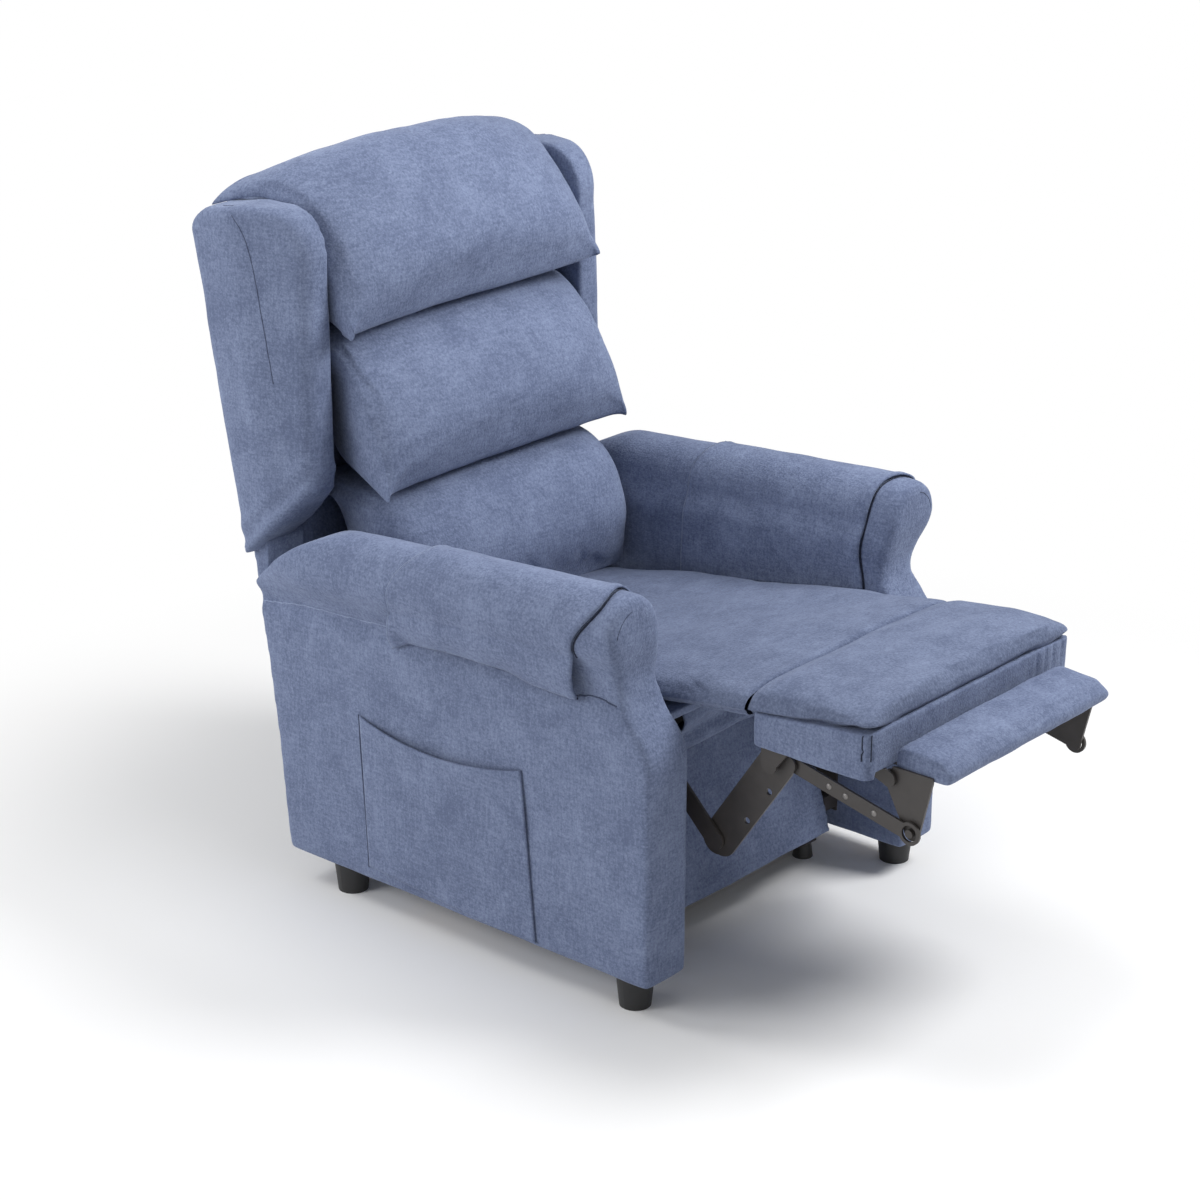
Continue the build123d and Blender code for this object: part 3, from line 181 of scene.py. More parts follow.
def chenille(name, dark=PILE_DARK, light=PILE_LIGHT):
    """The pile cloth between two shades."""
    cloth = bpy.data.materials.new(name)
    cloth.use_nodes = True
    tree = cloth.node_tree
    skin = tree.nodes["Principled BSDF"]
    place = shader(tree, "ShaderNodeTexCoord").outputs["Object"]
    clouds = shader(tree, "ShaderNodeTexNoise", Vector=place, Scale=13.0, Detail=6.0, Roughness=0.66,
                    Distortion=0.5)
    warp_map = shader(tree, "ShaderNodeMapping", Vector=place, Scale=(240, 240, 36))
    warp = shader(tree, "ShaderNodeTexNoise", Vector=warp_map.outputs[0], Scale=1.0, Detail=3.0)
    weft_map = shader(tree, "ShaderNodeMapping", Vector=place, Scale=(40, 40, 260))
    weft = shader(tree, "ShaderNodeTexNoise", Vector=weft_map.outputs[0], Scale=1.0, Detail=3.0)
    tufts = shader(tree, "ShaderNodeTexNoise", Vector=place, Scale=210.0, Detail=4.0, Roughness=0.75)
    weave = shader(tree, "ShaderNodeTexVoronoi", {"feature": "F1"}, Vector=place, Scale=330.0)
    cloud_part = shader(tree, "ShaderNodeMapRange", Value=clouds.outputs["Fac"], From_Min=0.32, From_Max=0.70,
                        To_Min=0.16, To_Max=0.66)
    threads = shader(tree, "ShaderNodeMath", {"operation": "ADD"},
                     i0=warp.outputs["Fac"], i1=weft.outputs["Fac"])
    stroke_part = shader(tree, "ShaderNodeMapRange", Value=threads.outputs[0], From_Min=0.65, From_Max=1.35,
                         To_Min=-0.22, To_Max=0.22)
    tuft_part = shader(tree, "ShaderNodeMapRange", Value=tufts.outputs["Fac"], From_Min=0.25, From_Max=0.75,
                       To_Min=-0.38, To_Max=0.38)
    weave_part = shader(tree, "ShaderNodeMapRange", Value=weave.outputs["Distance"], From_Min=0.0, From_Max=0.8,
                        To_Min=0.14, To_Max=-0.20)
    first = shader(tree, "ShaderNodeMath", {"operation": "ADD"},
                   i0=cloud_part.outputs[0], i1=stroke_part.outputs[0])
    second = shader(tree, "ShaderNodeMath", {"operation": "ADD"}, i0=first.outputs[0], i1=tuft_part.outputs[0])
    third = shader(tree, "ShaderNodeMath", {"operation": "ADD", "use_clamp": True},
                   i0=second.outputs[0], i1=weave_part.outputs[0])
    shade = shader(tree, "ShaderNodeMix", {"data_type": "RGBA"}, i0=third.outputs[0], i6=dark, i7=light)
    tree.links.new(shade.outputs[2], skin.inputs["Base Color"])
    height = shader(tree, "ShaderNodeMath", {"operation": "ADD"},
                    i0=tufts.outputs["Fac"], i1=weave.outputs["Distance"])
    relief = shader(tree, "ShaderNodeBump", Strength=0.35, Distance=0.0012, Height=height.outputs[0])
    tree.links.new(relief.outputs[0], skin.inputs["Normal"])
    skin.inputs["Roughness"].default_value = 0.92
    skin.inputs["Specular IOR Level"].default_value = 0.12
    skin.inputs["Sheen Weight"].default_value = 0.22
    skin.inputs["Sheen Roughness"].default_value = 0.45
    skin.inputs["Sheen Tint"].default_value = (0.72, 0.80, 1.0, 1)
    return cloth


cloth = chenille("blue_grey_chenille")
# The seat and legrest cloth: the same pile, darker all over, painted shade.
shaded_cloth = chenille("blue_grey_chenille_painted_shade",
                   *(tuple(c * SEAT_SHADE for c in pile[:3]) + (1,) for pile in (PILE_DARK, PILE_LIGHT)))
# Painted shadow: a near-black copy of the cloth for cords laid in gaps, under hems and in pleats, where shade
# falls.
shadow_cord = chenille("seam_shadow", (0.020, 0.024, 0.040, 1), (0.045, 0.055, 0.090, 1))
# Painted highlight: a paler copy for cords along raised seam edges, where light catches them.
highlight_cord = chenille("painted_seam_highlight", (0.20, 0.245, 0.37, 1), (0.32, 0.375, 0.53, 1))
# Painted shade: a dark copy for cords in creases and seam grooves, where shade falls.
groove_shade_cord = chenille("painted_fold_shade", (0.055, 0.068, 0.115, 1), (0.10, 0.122, 0.195, 1))

# Arms
# Two rolled arms: a timber core padded and covered, with a scrolled front, a tucked line under the
# roll and a flat outer side. The covers are pulled tight, so their edges are only softly rounded.
ARM_VOXEL = 0.004
ARM_PANEL = 350
ROLL_MIDDLE = 326
ROLL_RADIUS = 55.0
REAR_PADDING = 8


def applied(made):
    """Turns the modifiers of a piece into its mesh."""
    bpy.context.view_layer.update()
    graph = bpy.context.evaluated_depsgraph_get()
    mesh = bpy.data.meshes.new_from_object(made.evaluated_get(graph))
    made.modifiers.clear()
    made.data = mesh
    mesh.polygons.foreach_set("use_smooth", [True] * len(mesh.polygons))


def relax(made, passes, loose=None):
    """Rounds a mesh over by smoothing; loose(place) tells which points may move."""
    shape = bmesh.new()
    shape.from_mesh(made.data)
    moving = [v for v in shape.verts if loose is None or loose(v.co)]
    for _ in range(passes):
        bmesh.ops.smooth_vert(shape, verts=moving, factor=0.5,
                              use_axis_x=True, use_axis_y=True, use_axis_z=True)
    shape.to_mesh(made.data)
    shape.free()


def skinned(made, voxel, passes):
    """Turns a piece into one closed skin with soft edges."""
    skin = made.modifiers.new("skin", "REMESH")
    skin.mode = "VOXEL"
    skin.voxel_size = voxel
    applied(made)
    relax(made, passes)


def cover(name, node_names, voxel, passes, side=0):
    """A padded cover drawn over solids of the frame, or over one side of them."""
    shape = bmesh.new()
    for node in node_names:
        shape.from_mesh(nodes[node].data)
    if side:
        away = [v for v in shape.verts if v.co.x * side < 0]
        bmesh.ops.delete(shape, geom=away, context="VERTS")
    bmesh.ops.remove_doubles(shape, verts=shape.verts, dist=0.00001)
    made = piece(name, shape, cloth)
    skinned(made, voxel, passes)
    return made


def rumple(made, *waves):
    """Uneven stuffing: each wave is (size in metres, height in metres)."""
    mesh = made.data
    moves = []
    for v in mesh.vertices:
        lift = sum(height * noise.noise(v.co / size + Vector((size * 91, 3.1, 7.7))) for size, height in waves)
        moves.append(v.co + v.normal * lift)
    mesh.vertices.foreach_set("co", [c for place in moves for c in place])
    mesh.update()


def dense(points, step=0.004):
    """A line of places in metres through the given ones, one about every step."""
    line = []
    for a, b in zip(points, points[1:]):
        count = max(1, int((b - a).length / step))
        line += [a.lerp(b, k / count) for k in range(count)]
    return line + [points[-1]]


def rounded(points, passes=2):
    """The same line with its corners cut off."""
    for _ in range(passes):
        line = [points[0]]
        for a, b in zip(points, points[1:]):
            line += [a.lerp(b, 0.25), a.lerp(b, 0.75)]
        points = line + [points[-1]]
    return points


def press(made, line, width, depth):
    """Draws the cloth in along a line, as a row of stitches does."""
    mesh = made.data
    count = len(mesh.vertices)
    place = np.empty(count * 3)
    mesh.vertices.foreach_get("co", place)
    place = place.reshape(-1, 3)
    normal = np.array([v.normal for v in mesh.vertices])
    line = np.array(line)
    low, high = line.min(0) - 3 * width, line.max(0) + 3 * width
    near = np.where(((place > low) & (place < high)).all(1))[0]
    away = np.array([np.sqrt(((line - p) ** 2).sum(1).min()) for p in place[near]])
    if len(near):
        place[near] -= normal[near] * (depth * np.exp(-((away / width) ** 2)))[:, None]
    mesh.vertices.foreach_set("co", place.ravel())
    mesh.update()


def painted_cord(name, made, line, body, radius, finish=shadow_cord):
    """A closed cord along a line laid on the piece's own surface, a painted line of shade or highlight at a
    seam, gap or crease; dark painted shadow unless another finish is given.
    """
    shape = bmesh.new()
    shape.from_mesh(made.data)
    surface = BVHTree.FromBMesh(shape)
    shape.free()
    path = bpy.data.curves.new(name, "CURVE")
    path.dimensions = "3D"
    path.bevel_depth = radius
    path.bevel_resolution = 2
    path.use_fill_caps = True
    run = path.splines.new("POLY")
    laid = [surface.find_nearest(place)[0] for place in line]
    run.points.add(len(laid) - 1)
    for point, place in zip(run.points, laid):
        point.co = (*place, 1)
    drawn = bpy.data.objects.new(name, path)
    scene.collection.objects.link(drawn)
    bpy.context.view_layer.update()
    mesh = bpy.data.meshes.new_from_object(drawn.evaluated_get(bpy.context.evaluated_depsgraph_get()))
    bpy.data.objects.remove(drawn)
    seam = bpy.data.objects.new(name, mesh)
    scene.collection.objects.link(seam)
    mesh.materials.append(finish)
    mesh.polygons.foreach_set("use_smooth", [True] * len(mesh.polygons))
    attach(seam, body)


def ease(share, points):
    """A value read off a line of (share, value) points, with smooth turns."""
    for (a, low), (b, high) in zip(points, points[1:]):
        if share <= b:
            t = (share - a) / (b - a)
            t = t * t * (3 - 2 * t)
            return low + (high - low) * t
    return points[-1][1]


def ramp(value, start, length):
    """0 up to the start, rising to 1 over the length."""
    return min(1.0, max(0.0, (value - start) / length))


def roll_centre(y):
    """Height of the arm roll's middle at one place along the arm, in millimetres."""
    return 568.0 - 0.060 * (y + 320.0)


arms = {}
for hand, side in (("right", -1), ("left", 1)):
    arm = cover("arm_cover_" + hand, ["arm_upholstery_" + hand, "arm_frames"], ARM_VOXEL, 22, side)
    relax(arm, 30, loose=lambda place: place.y < at(0, -268, 0).y and place.z > 0.47)
    for v in arm.data.vertices:
        x, y = abs(v.co.x) * 1000, v.co.y * 1000 - FORE
        taper = ease((y - 290) / 120, [(0, 0), (1, 0.6)]) if y > 290 else 0
        x -= taper * max(0, x - ARM_PANEL)
        v.co = at(side * x, y + REAR_PADDING * ramp(y, 375, 25), v.co.z * 1000)
    arm.data.update()
    rumple(arm, (0.13, 0.0016), (0.05, 0.0006))
    tuck = dense([at(side * 349, y, z) for y, z in ((112, 470), (220, 462), (316, 457), (402, 446))])
    crease = dense(rounded([at(side * 352, -228, 462), at(side * 352, -262, 470), at(side * 350, -300, 464)]))
    press(arm, tuck, 0.005, 0.0026)
    press(arm, crease, 0.005, 0.0030)
    # The paler cord along the tuck seam is painted highlight.
    painted_cord("arm_tuck_seam_" + hand, arm, tuck, "chair", 0.0011, highlight_cord)
    # The dark cords in the roll's crease and round its face seam are painted shade in their grooves.
    painted_cord("arm_roll_crease_" + hand, arm, crease, "chair", 0.0012, groove_shade_cord)
    face = [at(side * (ROLL_MIDDLE + 44 * math.cos(a)), -330, 556 + 50 * math.sin(a))
            for a in [0.3 + k * 0.05 for k in range(22)]]
    painted_cord("arm_face_seam_" + hand, arm, face, "chair", 0.0006, groove_shade_cord)
    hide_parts("arm_upholstery_" + hand)
    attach(arm, "chair")
    arms[hand] = arm

# Arm caps
# A loose cover lies over each roll from the crease outside to the seat inside. Its front and rear
# hems are turned under and stitched, and its outer edge hangs free in shallow waves.
CAP_SEGMENTS = (110, 76)
CAP_CLEAR = 3.2
CAP_CLOTH = 0.0034
CAP_STEPS = 60
CAP_TURN = math.radians(-32)
CAP_REAR = [(0, 118), (0.2, 97), (0.42, 60), (0.6, 74), (1, 80)]


def thicken(made, thickness):
    """Gives a sheet the thickness of its cloth, half to each side."""
    wall = made.modifiers.new("cloth", "SOLIDIFY")
    wall.thickness = thickness
    wall.offset = 0
    applied(made)


def hem_height(y):
    """Height of the cap's outer hem, in millimetres: the rear corner hangs a little lower."""
    return ease((y + 250) / 380, [(0, 461), (0.15, 460), (0.4, 467), (0.66, 468), (0.86, 460), (1, 441)])


def seat_height(y):
    """Height where the cap ends beside the seat, in millimetres."""
    return 392.0 + (172.0 - y) * 0.1733 - 12.0


def roll_line(y, share, grow):
    """A point (X, Z) on the roll's outside in millimetres, share 0 at the outer hem, 1 at the seat."""
    centre, reach = roll_centre(y), ROLL_RADIUS + grow
    outer_low = (349.0 + grow, hem_height(y))
    first_end = (ROLL_MIDDLE + reach * math.cos(CAP_TURN), centre + reach * math.sin(CAP_TURN))
    first = math.hypot(first_end[0] - outer_low[0], first_end[1] - outer_low[1])
    bend = (math.pi - CAP_TURN) * reach
    drop = centre - seat_height(y)
    run = share * (first + bend + drop)
    if run < first:
        part = run / first
        swell = 7.0 * math.sin(math.pi * part)
        return (outer_low[0] + (first_end[0] - outer_low[0]) * part + swell,
                outer_low[1] + (first_end[1] - outer_low[1]) * part)
    if run < first + bend:
        angle = CAP_TURN + (run - first) / reach
        return ROLL_MIDDLE + reach * math.cos(angle), centre + reach * math.sin(angle)
    part = (run - first - bend) / drop
    inward = 11.0 * ease(min(part * drop / 41, 1.0), [(0, 0), (1, 1)])
    return ROLL_MIDDLE - reach - inward, centre - drop * part


def cap_front(share):
    """Y of the cap's front hem, in millimetres."""
    return ease(share, [(0, -238), (0.2, -248), (0.42, -288), (0.62, -272), (0.85, -265), (1, -274)])


for hand, side in (("right", -1), ("left", 1)):
    drape = bmesh.new()
    bmesh.ops.create_grid(drape, x_segments=CAP_SEGMENTS[0], y_segments=CAP_SEGMENTS[1], size=1.0)
    for v in drape.verts:
        share, along = (v.co.x + 1) / 2, (v.co.y + 1) / 2
        front, rear = cap_front(share), ease(share, CAP_REAR)
        y = front + (rear - front) * along
        hang = max(0.0, 1 - share / 0.16)
        lift = CAP_CLEAR + hang ** 1.4 * (3.5 + 2.5 * math.sin(y / 30 + 1.4) + 1.0 * math.sin(y / 13))
        edge = min(along, 1 - along) * (rear - front)
        lift += 1.6 * math.exp(-((edge - 9) / 6) ** 2) + 1.2 * noise.noise(Vector((y / 60, share * 7, side)))
        x, z = roll_line(y, share, lift)
        v.co = at(side * x, y, z)
    cap = piece("arm_cap_cloth_" + hand, drape, cloth)
    thicken(cap, CAP_CLOTH)
    # Two cords run along the cap's front: a dark one on the arm just ahead of the hem is painted shadow in the
    # gap under it, and a fainter one 9 mm behind is painted shade in the stitch groove.
    for name, under, back, clear, first, radius, finish in (
            ("edge", arms[hand], -1, 0.5, 10, 0.0014, shadow_cord),
            ("hem", cap, 9, CAP_CLEAR, 3, 0.0007, groove_shade_cord)):
        line = []
        for s in [k / CAP_STEPS for k in range(first, CAP_STEPS + 1)]:
            x, z = roll_line(cap_front(s) + back, s, clear)
            line.append(at(side * x, cap_front(s) + back, z))
        painted_cord("arm_cap_front_%s_%s" % (name, hand), under, line, "chair", radius, finish)
    # A dark cord just under the hanging outer hem is its painted shadow.
    low_edge = [at(side * 352, y, hem_height(y) - 2.2) for y in range(-232, 78, 4)]
    painted_cord("arm_cap_under_edge_" + hand, arms[hand], low_edge, "chair", 0.0016)
    # A paler cord along the cap's turned rear edge is painted highlight.
    rear_edge = []
    for s in [k / CAP_STEPS for k in range(1, 25)]:
        x, z = roll_line(ease(s, CAP_REAR), s, 6)
        rear_edge.append(at(side * x, ease(s, CAP_REAR), z))
    painted_cord("arm_cap_rear_edge_" + hand, cap, rear_edge, "chair", 0.0008, highlight_cord)
    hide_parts("arm_cap_" + hand)
    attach(cap, "chair")

# Back pillows
# Three stuffed pillows hang one over the other on the back. Each is a bag of two panels sewn together
# round the edge: full in the middle, closing to the seam at its ends, the lower corners drawn to points.
PILLOW_SEGMENTS = (104, 64)
BACK_LEAN = math.tan(math.radians(9.4))
FAR_FALL = 0.3
PILLOW_GIVE = 0.005
PILLOW_PRESSURE = 3.0


def back_face(z):
    """Y of the back's webbing at one height, in millimetres."""
    return 442.0 + (z - 520.0) * BACK_LEAN - 57.0


def smooth_line(points, t):
    """A place on a smooth line through the points, t from 0 to 1."""
    run = t * (len(points) - 1)
    k = min(int(run), len(points) - 2)
    t = run - k
    a, b, c, d = (points[min(max(k + step, 0), len(points) - 1)] for step in (-1, 0, 1, 2))
    return [0.5 * (2 * q + (r - p) * t + (2 * p - 5 * q + 4 * r - s) * t * t + (3 * q - p - 3 * r + s) * t ** 3)
            for p, q, r, s in zip(a, b, c, d)]


def settle(made, pressure, cap, frames=20):
    """Stuffs a sewn bag: cloth under a little pressure, each point held within cap of where it was."""
    start = [v.co.copy() for v in made.data.vertices]
    bag = made.modifiers.new("stuffing", "CLOTH")
    bag.settings.quality = 5
    bag.settings.mass = 0.25
    bag.settings.tension_stiffness = 18
    bag.settings.compression_stiffness = 18
    bag.settings.shear_stiffness = 8
    bag.settings.bending_stiffness = 0.6
    bag.settings.use_pressure = True
    bag.settings.uniform_pressure_force = pressure
    bag.settings.effector_weights.gravity = 0
    bag.collision_settings.use_collision = False
    for step in range(1, frames + 1):
        scene.frame_set(step)
    applied(made)
    for v, old in zip(made.data.vertices, start):
        move = v.co - old
        if move.length > cap:
            v.co = old + move * (cap / move.length)
    scene.frame_set(1)


def refine(made):
    """Rounds the mesh of a stuffed piece once more."""
    fine = made.modifiers.new("fine", "SUBSURF")
    fine.levels = fine.render_levels = 1


def sewn_bag(name, front, top, low, seam, ends, droop=(0, 0)):
    """A pillow from its front line, the heights of its rear edge, and the seam (X, Y, Z) at its ends.
    ends holds the roundness at the lower edge and at the crown, droop how far the lower corner hangs at
    the sitter's right and left."""
    shape = bmesh.new()
    rear_top, rear_low = (back_face(top), top), (back_face(low), low)
    middle = (back_face((top + low) / 2), (top + low) / 2)
    lines = ([*front, rear_top], [front[0], rear_low, middle, rear_top])
    for line in lines:
        sheet = bmesh.ops.create_grid(shape, x_segments=PILLOW_SEGMENTS[0], y_segments=PILLOW_SEGMENTS[1],
                                      size=1.0)
        for v in sheet["verts"]:
            u, t = math.sin(v.co.x * 1.46) / math.sin(1.46), (v.co.y + 1) / 2
            power, root = (ease(t, [(0, a), (0.35, a), (0.75, b), (1, b)]) for a, b in zip(*ends))
            power -= FAR_FALL * (u > 0) * t
            full = max(0.0, 1 - abs(u) ** power) ** root
            y, z = smooth_line(line, t)
            edge_x, edge_y, edge_z = smooth_line(seam, t)
            hang = max(0.0, 1 - t / 0.6) ** 1.5
            edge_z -= droop[u > 0] * hang
            z -= droop[u > 0] * 0.85 * hang * u * u
            v.co = at(edge_x * u, edge_y + (y - edge_y) * full, edge_z + (z - edge_z) * full)
    bmesh.ops.remove_doubles(shape, verts=shape.verts, dist=0.0003)
    return piece(name, shape, cloth)


head = sewn_bag("head_pillow_bag",
                [(345, 884), (286, 866), (264, 902), (268, 980), (342, 1080), (402, 1114)], 1096, 896,
                [(272, 268, 879), (276, 260, 884), (277, 280, 906), (275, 322, 952), (280, 402, 1034),
                 (292, 455, 1044), (318, 516, 1027)], ((4.6, 0.50), (2.1, 0.56)), (27, -6))
middle = sewn_bag("middle_pillow_bag",
                  [(285, 652), (226, 629), (200, 662), (206, 735), (272, 828), (342, 866)], 868, 672,
                  [(270, 208, 631), (272, 202, 634), (270, 212, 664), (268, 240, 728), (266, 282, 798),
                   (268, 345, 842), (270, 420, 850)], ((4.2, 0.50), (2.6, 0.54)), (13, -2))
lumbar = sewn_bag("lumbar_pillow_bag", [(184, 396), (158, 500), (205, 597), (300, 632)], 626, 416,
                  [(257, 206, 398), (257, 222, 490), (252, 246, 556), (250, 300, 590), (248, 380, 596)],
                  ((7.0, 0.5), (5.0, 0.5)))
for pillow, node, fill in ((head, "head_pillow", 0.7), (middle, "middle_pillow", 0.7),
                           (lumbar, "lumbar_pillow", 0.75)):
    settle(pillow, PILLOW_PRESSURE, PILLOW_GIVE)
    rumple(pillow, (0.09, 0.0026), (0.035, 0.0010))
    refine(pillow)
    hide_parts(node)
    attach(pillow, "back")

# Wings
# Two upholstered side wings on the back frame. The outer side is a flat rear strip and a fuller front
# panel that turns in towards the sitter; a seam runs down the front panel, and the foot is gathered.
WING_OUT, WING_SPREAD = 10, 6
WING_TURN_IN = 0.27
WING_BEND_ROUND = 15
WING_GATHER = 3.4


def wing_bend(z):
    """Y of the line where the rear strip meets the front panel, in millimetres."""
    return 386 + (z - 599) * 0.160


def wing_foot(y):
    """Height of the wing's lower edge, in millimetres."""
    return 631 - (y - 301) * 0.787


for hand, side in (("right", -1), ("left", 1)):
    wing = cover("wing_cover_" + hand, ["wing_" + hand], 0.005, 6)
    for v in wing.data.vertices:
        y = v.co.y * 1000 - FORE
        z = v.co.z * 1000
        x = abs(v.co.x) * 1000
        ahead = wing_bend(z) - y
        outer = ramp(x, 285, 40)
        turn = math.sqrt(max(0.0, ahead) ** 2 + WING_BEND_ROUND ** 2) - WING_BEND_ROUND
        x += outer * (WING_OUT + WING_SPREAD * (z - 513) / 520 - WING_TURN_IN * turn)
        y += 6 * ramp(ahead, 30, 50)
        z -= 15 * ramp(z, 950, 90) * ramp(-ahead, -35, 100)
        foot = wing_foot(y)
        low = math.exp(-(max(0.0, z - foot) / 50) ** 2)
        z -= 14 * low * ramp(y, 300, 60)
        x += outer * low * WING_GATHER * math.sin((z - foot) / 7.5 + (y - 300) / 45)
        v.co = at(side * x, y, z)
    wing.data.update()
    rumple(wing, (0.10, 0.0016), (0.04, 0.0008))
    seam_line = dense(rounded([at(side * 336, y, z) for y, z in ((462, 1046), (420, 1024), (400, 975),
                                                                 (376, 850), (366, 790))]))
    press(wing, seam_line, 0.005, 0.0014)
    # The dark cord in the pressed seam is painted shade in its groove.
    painted_cord("wing_seam_" + hand, wing, seam_line, "back", 0.0007, groove_shade_cord)
    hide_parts("wing_" + hand)
    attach(wing, "back")

# Back panel
# The outside of the back: one taut panel of the same cloth, drawn over the top rail and the posts. Its
# lower corners reach out behind the wings' feet and close the gap down to the arms.
CORNER_REACH = 0.066

panel = cover("back_outer_panel", ["back_rear_panel", "back_rails", "back_posts", "back_webbing"], 0.005, 3)
swollen = [v.co + v.normal * 0.0022 for v in panel.data.vertices]
for v, place in zip(panel.data.vertices, swollen):
    v.co = place
    if abs(place.x) > 0.23 and place.z < 0.66:
        v.co.x += math.copysign(0.012, place.x)
        if place.y > at(0, 405, 0).y and place.z > 0.46:
            v.co.x += math.copysign(CORNER_REACH, place.x) * ramp(-place.z, -0.59, 0.05)
panel.data.update()
rumple(panel, (0.12, 0.0012))
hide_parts("back_rear_panel")
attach(panel, "back")

# Seat and legrest pads
# The seat runs on as one soft pad over the gap to the legrest, where a sewn line closes it; the
# legrest's own top pad goes on from there. Both have a seam round their edge and hang a little over.
CORNER = 22.0
PAD_GIVE = 0.006
PAD_PRESSURE = 2.5


def soft_pad(name, half, segments, edge_line, top_line, under_line, ends, wave=0.0):
    """A pad whose edge seam, top and underside are read off lines of (Y, Z) from its rear to its front.
    ends holds, for the rear and the front, how far in the pad closes and how full it stays there."""
    shape = bmesh.new()
    first, last = edge_line[0][0], edge_line[-1][0]

    def height(line, y):
        for (a, low), (b, high) in zip(line, line[1:]):
            if y >= b:
                t = (y - a) / (b - a)
                return low + (high - low) * t
        return line[-1][1]

    for upper in (True, False):
        sheet = bmesh.ops.create_grid(shape, x_segments=segments[0], y_segments=segments[1], size=1.0)
        for v in sheet["verts"]:
            u = math.sin(v.co.x * math.pi / 2 * 0.94) / math.sin(math.pi / 2 * 0.94)
            t = (math.sin(v.co.y * math.pi / 2 * 0.9) / math.sin(math.pi / 2 * 0.9) + 1) / 2
            y = first + (last - first) * t
            seam = height(edge_line, y)
            goal = height(top_line if upper else under_line, y)
            from_rear, from_front = (first - y), (y - last)
            full = max(0.0, 1 - abs(u) ** 9) ** 0.5
            for gap, (reach, least) in ((from_rear, ends[0]), (from_front, ends[1])):
                close = min(1.0, gap / reach)
                full *= least + (1 - least) * math.sqrt(max(0.0, 1 - (1 - close) ** 2))
            crown = (5.0 if upper else 0.0) * (1 - u * u)
            z = seam + (goal + crown - seam) * full
            z += wave * math.sin((y + 300) / 42) * abs(u) ** 6
            corner = max(0.0, 1 - from_front / CORNER) * (ends[1][1] == 0)
            x = u * (half - CORNER + CORNER * math.sqrt(1 - corner * corner))
            v.co = at(x, y, z)
    bmesh.ops.remove_doubles(shape, verts=shape.verts, dist=0.0004)
    # The pads wear the darker copy of the cloth, painted shade.
    return piece(name, shape, shaded_cloth)


seat = soft_pad("seat_pad", 253, (90, 110),
                [(204, 374), (-278, 446), (-315, 452), (-385, 464), (-446, 465)],
                [(204, 390), (-278, 464), (-315, 470), (-380, 480), (-446, 488)],
                [(204, 344), (-200, 420), (-300, 436), (-340, 446), (-446, 458)],
                ((26, 0.7), (9, 0.72)), 3.0)
leg_top = soft_pad("legrest_top_pad", 248, (90, 44),
                   [(-446, 465), (-500, 473), (-560, 482), (-654, 492)],
                   [(-446, 487), (-475, 498), (-560, 507), (-654, 505)],
                   [(-446, 460), (-500, 468), (-560, 476), (-654, 485)], ((9, 0.72), (17, 0.0)))
for pad in (seat, leg_top):
    settle(pad, PAD_PRESSURE, PAD_GIVE, 14)
    rumple(pad, (0.10, 0.0030), (0.04, 0.0010))
    refine(pad)
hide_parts("seat_cushion", "seat_bridge_rear", "seat_bridge_front")
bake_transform(seat)
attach(leg_top, "legrest")

# Legrest box
# The sides of the legrest: cloth drawn round a board, with upright pleats tucked in at the front corners.
# The underside is hollow between the sides, where the links fold in.
BOX_HALF, BOX_REACH = 244, 98.5
BOX_MIDDLE, BOX_TOP, BOX_BOTTOM = -551, 484, 416
LINK_ROOM = 0.228
LINK_CEILING = 0.427
PLEAT_TOP, PLEAT_END = 486, 446
PLEATS = ((-247, -638), (-250, -649), (-237, -652), (158, -652), (180, -652), (200, -652), (222, -652))

box = bmesh.new()
bmesh.ops.create_cube(box, size=1.0)
for v in box.verts:
    y = BOX_MIDDLE + v.co.y * 2 * BOX_REACH
    v.co = at(v.co.x * 2 * BOX_HALF, y, BOX_TOP + (-650 - y) * 0.1 if v.co.z > 0 else BOX_BOTTOM)
upright = [e for e in box.edges if abs(e.verts[0].co.z - e.verts[1].co.z) > 0.02]
bmesh.ops.bevel(box, geom=upright, offset=0.012, segments=5, profile=0.5, affect="EDGES", material=-1)
leg_box = piece("legrest_box_cover", box, cloth)
skinned(leg_box, 0.003, 4)
rumple(leg_box, (0.07, 0.0018), (0.025, 0.0007))
for v in leg_box.data.vertices:
    if abs(v.co.x) < LINK_ROOM:
        v.co.z = max(v.co.z, LINK_CEILING)
leg_box.data.update()
for k, (x, y) in enumerate(PLEATS):
    pleat = dense([at(x, y, PLEAT_TOP), at(x * 0.995, y, PLEAT_END)])
    press(leg_box, pleat, 0.0035, 0.0050 if k < 3 else 0.0028)
    # Dark cords down two of the pleats are painted shade in their tucks.
    if k in (0, 2):
        painted_cord("legrest_pleat_%d" % k, leg_box, pleat, "legrest", 0.0009)
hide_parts("legrest_board", "legrest_pad")
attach(leg_box, "legrest")

# Flipper
# The small second footrest: a padded board, thin at its front, covered all round with the same cloth.
# Brackets at its ends hold it on the legrest's links.
flipper = cover("flipper_cover", ["flipper_board", "flipper_pad"], 0.004, 7)
rumple(flipper, (0.08, 0.0016), (0.03, 0.0006))
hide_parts("flipper_board", "flipper_pad")
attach(flipper, "flipper")

# Front panel
# A covered board leans back below the seat. Above it the seat's front rail is covered too, and a loose
# gusset of cloth hangs in folds between the two, inside the links.
GUSSET_HALF = 195
GUSSET_FALL = [(-182, 298), (-246, 318), (-282, 356), (-292, 394), (-296, 430)]
GUSSET_FOLD = 8
LOOSE_CLOTH = 0.0026

